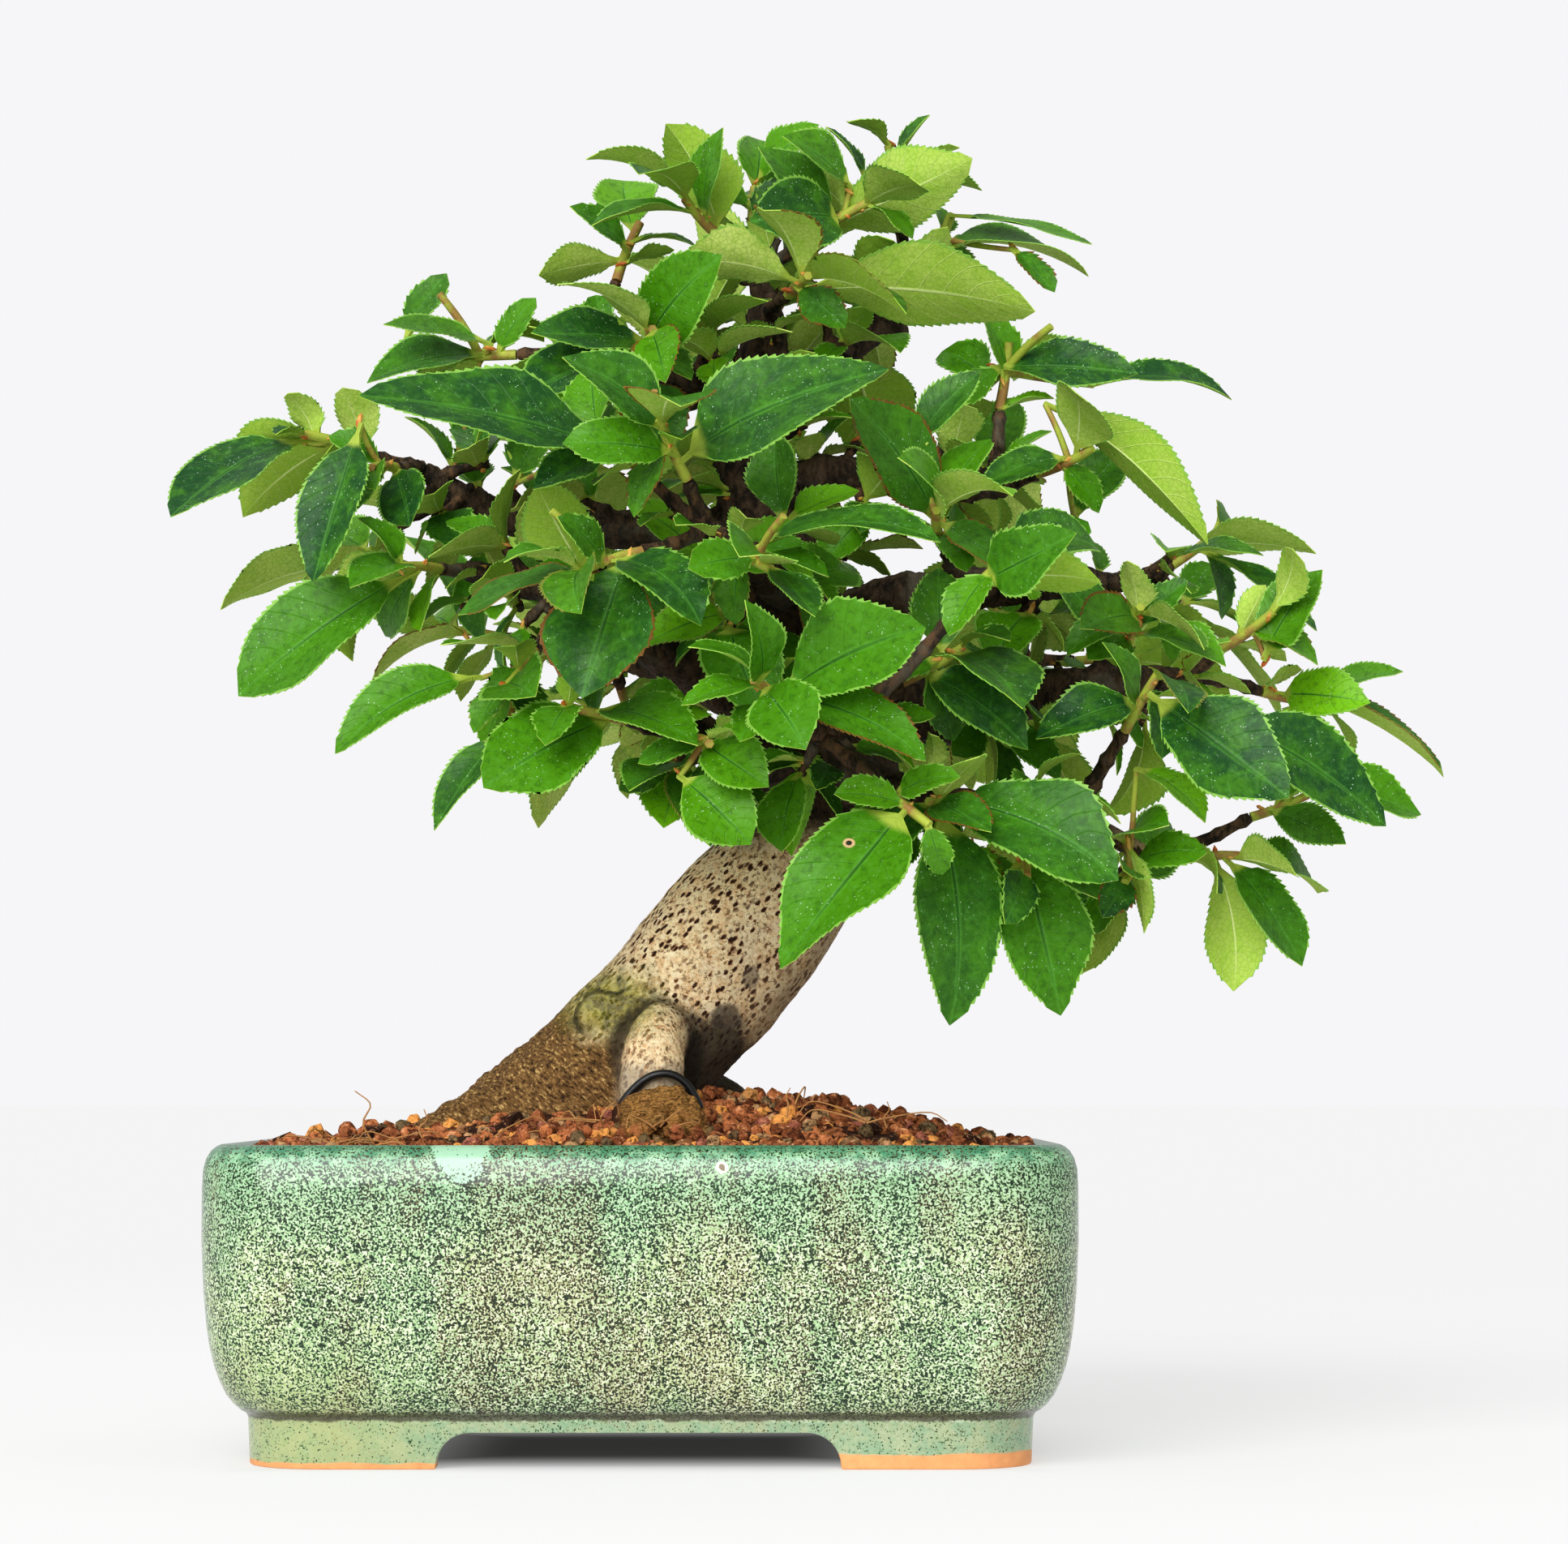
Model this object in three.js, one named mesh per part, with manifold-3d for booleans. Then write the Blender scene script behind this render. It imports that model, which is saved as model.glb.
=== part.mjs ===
// A small Chinese quince bonsai in a glazed, footed, soft-cornered rectangular pot.
// Millimetres, +Z up, the tree's front towards -Y. Sizes are first worked out about the
// middle of the pot's feet, and the whole is then centred on its own footprint.
import * as THREE from 'three';
import { mergeVertices } from 'three/addons/utils/BufferGeometryUtils.js';
import Module from 'manifold-3d';

const wasm = await Module();
wasm.setup();

const TAU = Math.PI * 2;
const DEGREE = Math.PI / 180;
const seat = 0.3; // clearance between two pieces that rest on each other

// The pot: outer length and depth at its widest, and its height
const pot = {
  length: 165, depth: 120, height: 60, cornerRadius: 17, cornerSteps: 4,
  footHeight: 11.5, apronHeight: 6.7, floorTop: 17,
  // heights and insets from the widest outline, up the outside and over the lip
  outside: [[0, 8.8], [9.3, 8.4], [10.4, 7], [13, 4.6], [18.5, 2.5], [26, 1.1], [42, 0], [57.2, 0.6],
    [60, 3.2]],
  // then down the inner wall to the floor
  inside: [[60, 5.6], [58.6, 7.4], [30, 9], [20, 11], [17, 14]],
  ringInset: 14.2, // inner face of the foot ring
  longGap: { bottom: 37.8, top: 33 }, // half widths of the arches between the feet
  shortGap: { bottom: 19, top: 15 },
  drainRadius: 7, drainOffset: 38,
};

// Mesh squares that keep the soil in over the drain holes
const drainMesh = { side: 22, thickness: 0.8, holeSide: 6, holePitch: 9, holes: 2 };

// The soil's surface: near the rim's level, heaped round the trunk
const soil = {
  rimLevel: 58.6, heap: 11, heapAt: [8, 0], heapSpread: [60, 34],
  lump: 4.5, lumpAt: [4, -33], lumpSpread: 7,
  bottom: 18.4, rings: 4, grains: 18, grainRadius: [2.2, 3.2], seed: 41,
};

// Wood: points along each limb, and radii spread evenly along it
const trunk = {
  points: [[-34, 2, 44], [-12, 1, 66], [3, 0, 84], [16, 0, 101], [29, 0, 117], [37, 1, 131], [38, 3, 146],
    [32, 4, 161], [25, 3, 177], [21, 1, 192], [22, 0, 206], [23, -2, 218], [23, -2, 227], [21, -1, 234]],
  radii: [21, 18.4, 15.8, 14.8, 13.4, 12.4, 11.2, 9.8, 8.6, 7.4, 6.2, 5, 3.4, 1.6],
  sides: 10, steps: 13, swell: 0.035,
};
const rootStub = {
  points: [[8, -6, 84], [3, -15, 81], [1, -20, 72], [1, -21, 55]],
  radii: [6, 6.2, 6, 7],
  sides: 8,
};
const roots = [
  { points: [[-16, -4, 63], [-36, -10, 62], [-52, -16, 52]], radii: [11, 7, 3] },
  { points: [[-10, 6, 65], [-20, 26, 61], [-32, 40, 51]], radii: [11, 7, 3] },
  { points: [[0, 4, 70], [17, 17, 64], [33, 25, 53]], radii: [11, 6, 3] },
];
const branches = {
  leftLow: { points: [[33, 1, 148], [16, -10, 150], [0, -14, 160], [-12, -15, 167], [-25, -10, 170],
    [-36, -6, 173]], radii: [7.5, 2.2] },
  leftMid: { points: [[25, 2, 178], [8, 5, 183], [-10, 9, 183], [-26, 10, 185], [-38, 7, 190],
    [-46, 4, 195]], radii: [5.2, 2] },
  leftFront: { points: [[33, -4, 139], [20, -26, 138], [8, -38, 138]], radii: [5, 2] },
  rightLow: { points: [[37, 2, 142], [49, -3, 145], [63, -5, 145], [79, -5, 149], [92, -9, 150],
    [106, -2, 152]], radii: [8.5, 2.2] },
  drooping: { points: [[34, -5, 133], [44, -26, 129], [57, -34, 125], [72, -34, 123], [86, -28, 121],
    [98, -20, 115]], radii: [5.2, 1.8] },
  rightMid: { points: [[33, 3, 160], [45, -8, 166], [59, -14, 168], [77, -10, 170], [92, -2, 171],
    [101, 3, 172]], radii: [5.6, 1.9] },
  rightHigh: { points: [[22, 1, 191], [37, 0, 193], [55, -3, 191], [70, -5, 189]], radii: [4.6, 2] },
  rightCrest: { points: [[23, -1, 212], [36, 4, 217], [47, 8, 224], [53, 11, 231]], radii: [3.6, 1.6] },
  leftCrest: { points: [[22, 0, 207], [11, -5, 210], [-2, -8, 213], [-16, -5, 217]], radii: [4, 1.7] },
  frontMid: { points: [[29, 1, 169], [23, -26, 170], [17, -42, 172], [13, -50, 176]], radii: [4.6, 1.8] },
  frontLow: { points: [[36, -3, 143], [32, -30, 141], [34, -50, 136]], radii: [4.6, 1.8] },
  backLeft: { points: [[34, 8, 152], [12, 28, 157], [-8, 42, 161], [-24, 46, 164]], radii: [6.5, 2] },
  backRight: { points: [[38, 8, 148], [50, 28, 152], [64, 40, 157], [78, 44, 160]], radii: [6.5, 2] },
  backMid: { points: [[24, 4, 182], [24, 24, 186], [24, 42, 189], [23, 54, 191]], radii: [4.6, 1.8] },
  backCrest: { points: [[22, 0, 210], [22, 15, 216], [19, 27, 220]], radii: [3.6, 1.6] },
};

// The band that ties the surface root down
const rootTie = {
  points: [[-8, -27, 57], [-6, -29.5, 67], [1.5, -30.5, 73], [9, -29.5, 71.5], [15, -27, 58]],
  radii: [0.8, 0.8], sides: 4, steps: 10,
};

// Leafy sprays. Each holds the place of its leaves and a list of the leaves that stand out, as
// bearing (degrees anticlockwise from +X, seen from the front), length, share of the upper face
// that is seen (negative when the underside is), lean towards the front (degrees), width over
// length; then how many more leaves fill it, and the tip of a bare shoot where there is one.
const sprays = {
  apex_left: { at: [11, -10, 243], leaves: [[112, 20, -0.9, 5, 0.62], [142, 17, 0.7, 20], [78, 17, 0.5, 0],
    [188, 22, 0.35, 15]], more: 2 },
  apex_far_left: { at: [-4, 0, 239], leaves: [[200, 19, -0.6, 10], [150, 14, 0.7, 20]], more: 2 },
  apex_top: { at: [39, -6, 244], leaves: [[24, 28, -0.85, 5, 0.5], [142, 22, 0.8, 5],
    [190, 20, 0.95, 28, 0.75],
    [132, 18, -0.3, -5]], more: 2 },
  apex_crown: { at: [21, 4, 247], leaves: [[42, 19, 0.6, 0], [100, 14, 0.6, 10],
    [160, 15, 0.7, 10]], more: 2 },
  apex_right: { at: [49, 5, 255], leaves: [[23, 15, 0.1, -10], [-2, 18, 0.25, -10],
    [60, 13, 0.5, 10]], more: 2 },
  apex_front: { at: [30, -25, 227], leaves: [[-9, 46, -0.6, 12, 0.42], [-28, 16, 0.7, 20],
    [176, 24, -0.6, 20]],
    more: 2 },
  right_top: { at: [59, 15, 244], leaves: [[-16, 31, 0.3, 0], [-55, 14, 0.6, 10],
    [-75, 14, 0.7, 0]], more: 2 },
  right_crest: { at: [71, -5, 213], leaves: [[-8, 32, 0.75, 15, 0.45], [-8, 44, 0.6, -16, 0.36],
    [10, 19, 0.1, -4], [210, 15, 0.8, 10]], more: 2, shoot: [80, -12, 221] },
  right_shoulder: { at: [83, -15, 194], leaves: [[-44, 38, -0.6, 15, 0.42], [-60, 15, 0.9, -10],
    [200, 18, 0.7, 10]], more: 2 },
  centre_right: { at: [56, -50, 177], leaves: [[128, 28, 0.8, 15], [59, 20, 0.7, 0],
    [-35, 18, 0.7, 5]], more: 2 },
  centre_high: { at: [6, -60, 190], leaves: [[16, 42, 0.8, 12, 0.52], [181, 20, 0.85, 10], [245, 15, 0.7, 5]],
    more: 2, shoot: [3, -68, 199] },
  left_long: { at: [-6, -50, 192], leaves: [[171, 47, 0.7, 12, 0.42], [215, 17, 0.8, 15]], more: 2 },
  left_inner: { at: [1, -25, 216], leaves: [[206, 28, 0.75, 12], [32, 24, 0.85, 15], [186, 24, 0.8, 5],
    [135, 12, -0.7, 5]], more: 2 },
  left_crest: { at: [-34, 0, 217], leaves: [[45, 16, 0.8, 5], [196, 23, 0.6, 12],
    [18, 16, 0.4, -10]], more: 2,
    shoot: [-42, -4, 229] },
  left_high: { at: [-64, -6, 199], leaves: [[219, 39, 0.75, 13, 0.46], [215, 23, -0.35, -12],
    [194, 21, -0.4, 5]],
    more: 2 },
  left_shoot: { at: [-52, -17, 192], leaves: [[259, 31, 0.85, 22, 0.5], [236, 14, 0.7, 10],
    [150, 12, 0.85, 5]], more: 2 },
  left_end: { at: [-45, -20, 172], leaves: [[208, 43, 0.85, 10, 0.47], [203, 21, -0.6, -8], [237, 15, 0.5, 0],
    [216, 20, 0.7, 20], [238, 15, -0.8, -8]], more: 2 },
  left_under: { at: [-24, -35, 150], leaves: [[211, 33, 0.6, 10, 0.42], [245, 16, 0.85, 12],
    [225, 14, 0.8, -8],
    [285, 14, 0.8, 10]], more: 2 },
  left_front_low: { at: [-9, -50, 141], leaves: [[218, 25, 0.9, 22, 0.62], [232, 18, 0.95, 0],
    [231, 28, 0.5, -10], [-17, 23, 0.6, 20], [214, 13, -0.7, 30]], more: 2 },
  front_low_left: { at: [12, -57, 135], leaves: [[-43, 18, 0.95, 10, 0.75], [-75, 14, 0.7, 15],
    [200, 13, 0.7, 10]],
    more: 1 },
  front_left: { at: [-6, -60, 168], leaves: [[261, 26, 0.95, 10, 0.74], [175, 15, 0.7, 5],
    [-30, 24, 0.85, 15],
    [140, 15, 0.9, 15]], more: 2, shoot: [-16, -66, 177] },
  front_centre: { at: [24, -70, 143], leaves: [[21, 31, 0.95, 8, 0.62], [-22, 33, 0.8, 14, 0.44],
    [150, 17, 0.3, 25], [190, 16, 0.5, 15]], more: 1 },
  front_low_centre: { at: [50, -64, 122], leaves: [[233, 41, 0.95, 6, 0.55], [170, 14, 0.8, 5]], more: 1 },
  right_front_low: { at: [55, -52, 124], leaves: [[-24, 37, 0.9, 16, 0.52],
    [274, 42, 0.9, 0, 0.44]], more: 2 },
  right_front_hang: { at: [72, -45, 114], leaves: [[-78, 31, 0.95, 2, 0.56], [-36, 18, 0.9, 10],
    [-62, 20, -0.5, -8], [-51, 16, 0.25, -14]], more: 1 },
  right_hang: { at: [93, -32, 112], leaves: [[-60, 17, 0.8, 10], [12, 15, 0.75, 15],
    [245, 13, 0.7, 5]], more: 2 },
  right_tip_low: { at: [113, -24, 115], leaves: [[272, 26, -0.85, 0, 0.5], [-58, 25, 0.7, 5]], more: 2 },
  right_end_low: { at: [125, -20, 126], leaves: [[-40, 13, 0.8, 10], [30, 12, -0.7, 5],
    [75, 12, 0.8, 0]], more: 2 },
  right_big: { at: [95, -45, 144], leaves: [[-40, 33, 0.9, 12, 0.56], [-34, 36, 0.85, -12, 0.5],
    [202, 22, 0.8, 10], [-75, 15, 0.7, 10]], more: 2 },
  right_far: { at: [130, 8, 149], leaves: [[-29, 34, 0.2, 0, 0.4], [-17, 14, 0.9, 12], [5, 14, 0.7, 14],
    [255, 13, -0.8, 5]], more: 2 },
  right_far_mid: { at: [119, -12, 161], leaves: [[53, 23, 0.8, 5, 0.6], [-30, 15, 0.6, 8], [-4, 14, 0.9, 12]],
    more: 2 },
  right_mid_high: { at: [111, 5, 180], leaves: [[-7, 23, -0.35, 0], [-40, 29, 0.4, 12, 0.42],
    [-62, 20, 0.85, 18]], more: 2 },
  right_mid: { at: [95, -28, 160], leaves: [[-28, 19, 0.6, 12], [39, 13, 0.8, 5],
    [205, 15, 0.7, 12]], more: 2 },
  centre_right_low: { at: [56, -45, 151], leaves: [[-46, 24, 0.85, 12], [-75, 19, 0.85, 16],
    [200, 15, 0.8, 10]],
    more: 2 },
  centre_right_mid: { at: [66, -62, 166], leaves: [[-7, 20, -0.6, 10], [15, 15, 0.7, 22], [235, 15, 0.8, 15]],
    more: 2 },
  centre_mid: { at: [22, -66, 168], leaves: [[5, 34, 0.4, 8, 0.42], [-20, 15, 0.7, 20], [200, 15, 0.7, 12]],
    more: 2, shoot: [27, -74, 175] },
  back_left_low: { at: [-6, 56, 150], leaves: [], more: 5 },
  back_left_mid: { at: [-18, 62, 176], leaves: [], more: 5 },
  back_left_end: { at: [-40, 46, 166], leaves: [], more: 5 },
  back_left_side: { at: [-58, 24, 180], leaves: [], more: 5 },
  back_right_low: { at: [58, 58, 144], leaves: [], more: 5 },
  back_right_mid: { at: [72, 60, 172], leaves: [], more: 5 },
  back_right_end: { at: [96, 46, 160], leaves: [], more: 5 },
  back_right_side: { at: [110, 32, 170], leaves: [], more: 5 },
  back_right_high: { at: [68, 34, 197], leaves: [], more: 5 },
  back_middle: { at: [24, 72, 168], leaves: [], more: 5 },
  back_middle_low: { at: [26, 52, 136], leaves: [], more: 5 },
  back_middle_high: { at: [22, 68, 197], leaves: [], more: 5 },
  back_left_high: { at: [-10, 40, 203], leaves: [], more: 5 },
  back_crest: { at: [12, 38, 228], leaves: [], more: 5 },
  back_crest_right: { at: [42, 32, 226], leaves: [], more: 5 },
  back_apex: { at: [28, 22, 236], leaves: [], more: 5 },
};
const spray = {
  twigRadii: [1.6, 1.1], stemRadii: [1.1, 0.9], stemBack: 8, stemAhead: 6, reach: 11,
  leafPitch: 2, leafSpan: 10.5, fillerLength: [15, 14], backFillerLength: [18, 15], seed: 7001,
  crownTop: 267,
};

// Cells that wood, stems and leaves have taken, so that no leaf runs through another
const cells = {
  size: 1.1, low: [-132, -132, 40], count: [300, 250, 240], woodMargin: 1.7,
  free: 0, wood: 1, firstSpray: 2, shared: 255,
};

// A leaf: its stalk, and the blade's edge from stalk to tip as shares of its length with how far
// the edge stands out from the smooth outline there: a tooth stands out, a notch cuts in
const leafForm = {
  stalk: 0.14, ribStart: 0.1, stalkHalfWidth: 0.55, ribHalfThickness: 0.5, sink: 0.35,
  fold: [0.14, 0.42], arch: [0.35, 1.1], twist: 0.5,
  edge: [[0.17, 1], [0.42, 1.04], [0.68, 1.1], [0.74, 0.86]], rib: [0.5],
  tries: 60, ownShare: 0.36, rootClear: 3.6,
};

// A closed geometry as a solid, and a solid as a geometry
function toSolid(geometry) {
  const bare = geometry.clone();
  bare.deleteAttribute('normal');
  bare.deleteAttribute('uv');
  const merged = mergeVertices(bare, 1e-4);
  return new wasm.Manifold(new wasm.Mesh({
    numProp: 3,
    vertProperties: merged.attributes.position.array,
    triVerts: new Uint32Array(merged.index.array),
  }));
}

function toGeometry(solid) {
  const mesh = solid.getMesh();
  return new THREE.BufferGeometry()
    .setAttribute('position', new THREE.BufferAttribute(mesh.vertProperties, 3))
    .setIndex(new THREE.BufferAttribute(mesh.triVerts, 1));
}

const joined = (solids) => solids.reduce((all, solid) => all.add(solid));

// A skin over a row of rings with the same number of points, closed at both ends by a fan.
// Each ring turns anticlockwise as seen from the end of the row.
function loft(rings) {
  const count = rings[0].length;
  const middle = (ring) => ring.reduce((sum, p) => sum.add(p), new THREE.Vector3()).divideScalar(count);
  const vertices = [...rings.flat(), middle(rings[0]), middle(rings.at(-1))];
  const startMiddle = rings.length * count;
  const faces = [];
  for (let side = 0; side < count; side += 1) {
    const next = (side + 1) % count;
    faces.push([startMiddle, next, side]);
    for (let row = 0; row < rings.length - 1; row += 1) {
      const low = row * count;
      const high = low + count;
      faces.push([low + side, low + next, high + next], [low + side, high + next, high + side]);
    }
    const last = startMiddle - count;
    faces.push([startMiddle + 1, last + side, last + next]);
  }
  return new THREE.BufferGeometry().setFromPoints(vertices).setIndex(faces.flat());
}

// Park-Miller draws between 0 and 1
function drawsFrom(seed) {
  let state = seed;
  return () => {
    state = (state * 16807) % 2147483647;
    return state / 2147483647;
  };
}

// The pot's outline at a height, set in from its widest
function potRing(height, inset) {
  const radius = Math.max(pot.cornerRadius - inset, 1);
  const ring = [];
  const corners = [[1, 1], [-1, 1], [-1, -1], [1, -1]];
  corners.forEach(([sideX, sideY], corner) => {
    const middleX = sideX * (pot.length / 2 - inset - radius);
    const middleY = sideY * (pot.depth / 2 - inset - radius);
    for (let step = 0; step <= pot.cornerSteps; step += 1) {
      const angle = (corner + step / pot.cornerSteps) * Math.PI / 2;
      const x = middleX + radius * Math.cos(angle);
      const y = middleY + radius * Math.sin(angle);
      ring.push(new THREE.Vector3(x, y, height));
    }
  });
  return ring;
}

// The arch between two feet, as a bar through the foot ring along Y
function footArch({ bottom, top }, reach) {
  const lift = pot.apronHeight;
  const arch = new THREE.Shape();
  arch.moveTo(-bottom, -1);
  arch.lineTo(bottom, -1);
  arch.lineTo(bottom, 0.6);
  arch.quadraticCurveTo(bottom - 0.6, lift * 0.55, top + 1, lift * 0.85);
  arch.quadraticCurveTo(top, lift, top - 3, lift);
  arch.lineTo(3 - top, lift);
  arch.quadraticCurveTo(-top, lift, -top - 1, lift * 0.85);
  arch.quadraticCurveTo(0.6 - bottom, lift * 0.55, -bottom, 0.6);
  return new THREE.ExtrudeGeometry(arch, { depth: 2 * reach, bevelEnabled: false, curveSegments: 2 })
    .rotateX(Math.PI / 2)
    .translate(0, reach, 0);
}

function makePot() {
  const profile = [[pot.footHeight - 0.5, pot.ringInset], [0, pot.ringInset], ...pot.outside, ...pot.inside];
  let body = toSolid(loft(profile.map(([height, inset]) => potRing(height, inset))));
  body = body.subtract(toSolid(footArch(pot.longGap, pot.depth)));
  body = body.subtract(toSolid(footArch(pot.shortGap, pot.length).rotateZ(Math.PI / 2)));
  for (const side of [-1, 1]) {
    const drain = new THREE.CylinderGeometry(pot.drainRadius, pot.drainRadius, 20, 12)
      .rotateX(Math.PI / 2)
      .translate(side * pot.drainOffset, 0, pot.floorTop - 3);
    body = body.subtract(toSolid(drain));
  }
  return toGeometry(body);
}

function makeDrainMesh(side) {
  const { side: width, thickness, holeSide, holePitch, holes } = drainMesh;
  let sheet = toSolid(new THREE.BoxGeometry(width, width, thickness));
  const hole = toSolid(new THREE.BoxGeometry(holeSide, holeSide, 2 * thickness));
  for (let column = 0; column < holes; column += 1) {
    for (let row = 0; row < holes; row += 1) {
      const [x, y] = [column, row].map((place) => (place - (holes - 1) / 2) * holePitch);
      sheet = sheet.subtract(hole.translate([x, y, 0]));
    }
  }
  return toGeometry(sheet).translate(side * pot.drainOffset, 0, pot.floorTop + seat + thickness / 2);
}

// Smooth curve through a limb's points
const curveThrough = (points) => new THREE.CatmullRomCurve3(
  points.map((p) => new THREE.Vector3(...p)), false, 'catmullrom', 0.5);

// A limb's radius a share of the way along, read off its list of radii
function radiusAt(radii, share) {
  const place = Math.min(share, 1) * (radii.length - 1);
  const before = Math.min(Math.floor(place), radii.length - 2);
  return THREE.MathUtils.lerp(radii[before], radii[before + 1], place - before);
}

// A tapering limb with the low swellings of old wood. Grown, it is the hollow that clears it.
function limb({ points, radii, sides = 5, steps = points.length - 1, swell = 0 }, grow = 0) {
  const curve = curveThrough(points);
  let across = new THREE.Vector3(0, 0, 1);
  if (Math.abs(curve.getTangent(0).z) > 0.85) across.set(0, -1, 0);
  const rings = [];
  for (let step = 0; step <= steps; step += 1) {
    const share = step / steps;
    const centre = curve.getPoint(share);
    const along = curve.getTangent(share);
    if (step === 0) centre.addScaledVector(along, -grow);
    if (step === steps) centre.addScaledVector(along, grow);
    across = across.clone().addScaledVector(along, -across.dot(along)).normalize();
    const beside = along.clone().cross(across);
    const ring = [];
    for (let side = 0; side < sides; side += 1) {
      const angle = side / sides * TAU;
      const bulge = 1 + swell * (Math.sin(3 * angle + 5 * share) + 0.6 * Math.sin(5 * angle - 17 * share));
      const radius = radiusAt(radii, share) * bulge + grow;
      ring.push(centre.clone()
        .addScaledVector(across, radius * Math.cos(angle))
        .addScaledVector(beside, radius * Math.sin(angle)));
    }
    rings.push(ring);
  }
  return toSolid(loft(rings));
}

// Points spread along every limb, where a twig can leave it
function placesOnWood() {
  const limbs = [trunk, ...Object.values(branches)];
  return limbs.flatMap(({ points }) => {
    const curve = curveThrough(points);
    return Array.from({ length: 61 }, (_, place) => curve.getPoint(place / 60));
  });
}

// The twig that carries a spray, from the nearest wood that leaves it room, and the stem beyond it
function carry(name, { at }, places) {
  const node = new THREE.Vector3(...at);
  const root = places
    .filter((place) => place.distanceTo(node) >= spray.reach)
    .reduce((best, place) => (place.distanceTo(node) < best.distanceTo(node) ? place : best));
  const along = node.clone().sub(root).normalize();
  const end = node.clone().addScaledVector(along, -spray.stemBack);
  const flat = ({ x, y, z }) => [x, y, z];
  const start = end.clone().addScaledVector(along, seat);
  const tip = node.clone().addScaledVector(along, spray.stemAhead);
  return {
    name, node, along,
    twig: { points: [flat(root), flat(end)], radii: spray.twigRadii, sides: 3, steps: 1 },
    stem: { points: [flat(start), flat(tip)], radii: spray.stemRadii, sides: 4, steps: 1 },
  };
}

// Half the blade's width a share of the way from the stalk's root to the tip
function halfWidthAt({ width, stalkHalf }, share) {
  const blade = (share - leafForm.stalk) / (1 - leafForm.stalk);
  if (blade <= 0) return stalkHalf;
  const outline = width / 2 * Math.sin(Math.PI * blade ** 0.95) ** (0.7 + 0.4 * blade);
  return Math.max(outline, blade < 0.5 ? stalkHalf : 0);
}

// A point of a leaf, `share` of the way along it and `aside` half widths from its rib. The leaf
// is bent along an arc, folded up from the rib and twisted; `lift` is measured off its face.
function leafPoint(leaf, share, aside, lift = 0) {
  const { base, along, up, length, arch, fold, twist } = leaf;
  const half = arch / 2;
  const radius = length / (2 * Math.sin(half));
  const turn = arch * (share - 0.5);
  const face = up.clone().multiplyScalar(Math.cos(turn)).addScaledVector(along, Math.sin(turn));
  const side = along.clone().cross(up);
  const roll = twist * (share - 0.5);
  const rolledSide = side.clone().multiplyScalar(Math.cos(roll)).addScaledVector(face, Math.sin(roll));
  const rolledFace = face.clone().multiplyScalar(Math.cos(roll)).addScaledVector(side, -Math.sin(roll));
  const out = halfWidthAt(leaf, share) * aside;
  return base.clone()
    .addScaledVector(along, length / 2 + radius * Math.sin(turn))
    .addScaledVector(up, radius * (Math.cos(turn) - Math.cos(half)))
    .addScaledVector(rolledSide, out * Math.cos(fold))
    .addScaledVector(rolledFace, Math.abs(out) * Math.sin(fold) + lift);
}

// A leaf's solid: two faces that share the toothed edge and part at the rib, split alike
function makeLeaf(leaf) {
  const edge = [[0, 1], ...leafForm.edge];
  const rib = [leafForm.ribStart, ...leafForm.rib];
  const left = edge.map(([share, out]) => leafPoint(leaf, share, -out));
  const right = edge.map(([share, out]) => leafPoint(leaf, share, out));
  const top = rib.map((share) => leafPoint(leaf, share, 0, leafForm.ribHalfThickness));
  const under = rib.map((share) => leafPoint(leaf, share, 0, -leafForm.ribHalfThickness));
  const points = [...left, ...right, ...top, ...under, leafPoint(leaf, 1, 0)];
  const tip = points.length - 1;
  const rightStart = left.length;
  const topStart = 2 * left.length;
  const underStart = topStart + top.length;
  const faces = [];
  const addHalf = (edgeStart, ribStart, flip) => {
    const add = (a, b, c) => faces.push(flip ? [a, c, b] : [a, b, c]);
    let at = 0;
    rib.forEach((share, place) => {
      const next = place + 1 < rib.length ? rib[place + 1] : 1;
      const nextPoint = place + 1 < rib.length ? ribStart + place + 1 : tip;
      const limit = place + 1 < rib.length ? (share + next) / 2 : 1;
      while (at + 1 < edge.length && edge[at + 1][0] <= limit) {
        add(edgeStart + at, edgeStart + at + 1, ribStart + place);
        at += 1;
      }
      add(edgeStart + at, nextPoint, ribStart + place);
    });
  };
  addHalf(0, topStart, true);
  addHalf(rightStart, topStart, false);
  addHalf(0, underStart, false);
  addHalf(rightStart, underStart, true);
  faces.push([0, rightStart, topStart], [0, underStart, rightStart]);
  return toSolid(new THREE.BufferGeometry().setFromPoints(points).setIndex(faces.flat()));
}

// The grid of taken cells
const taken = new Uint8Array(cells.count[0] * cells.count[1] * cells.count[2]);
const cellOf = ({ x, y, z }) => [x, y, z].map((value, axis) => (
  Math.floor((value - cells.low[axis]) / cells.size)));
const cellIndex = (i, j, k) => (i * cells.count[1] + j) * cells.count[2] + k;

function take(index, owner) {
  if (taken[index] === cells.free) taken[index] = owner;
  else if (taken[index] !== owner) taken[index] = taken[index] === cells.wood ? cells.wood : cells.shared;
}

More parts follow.
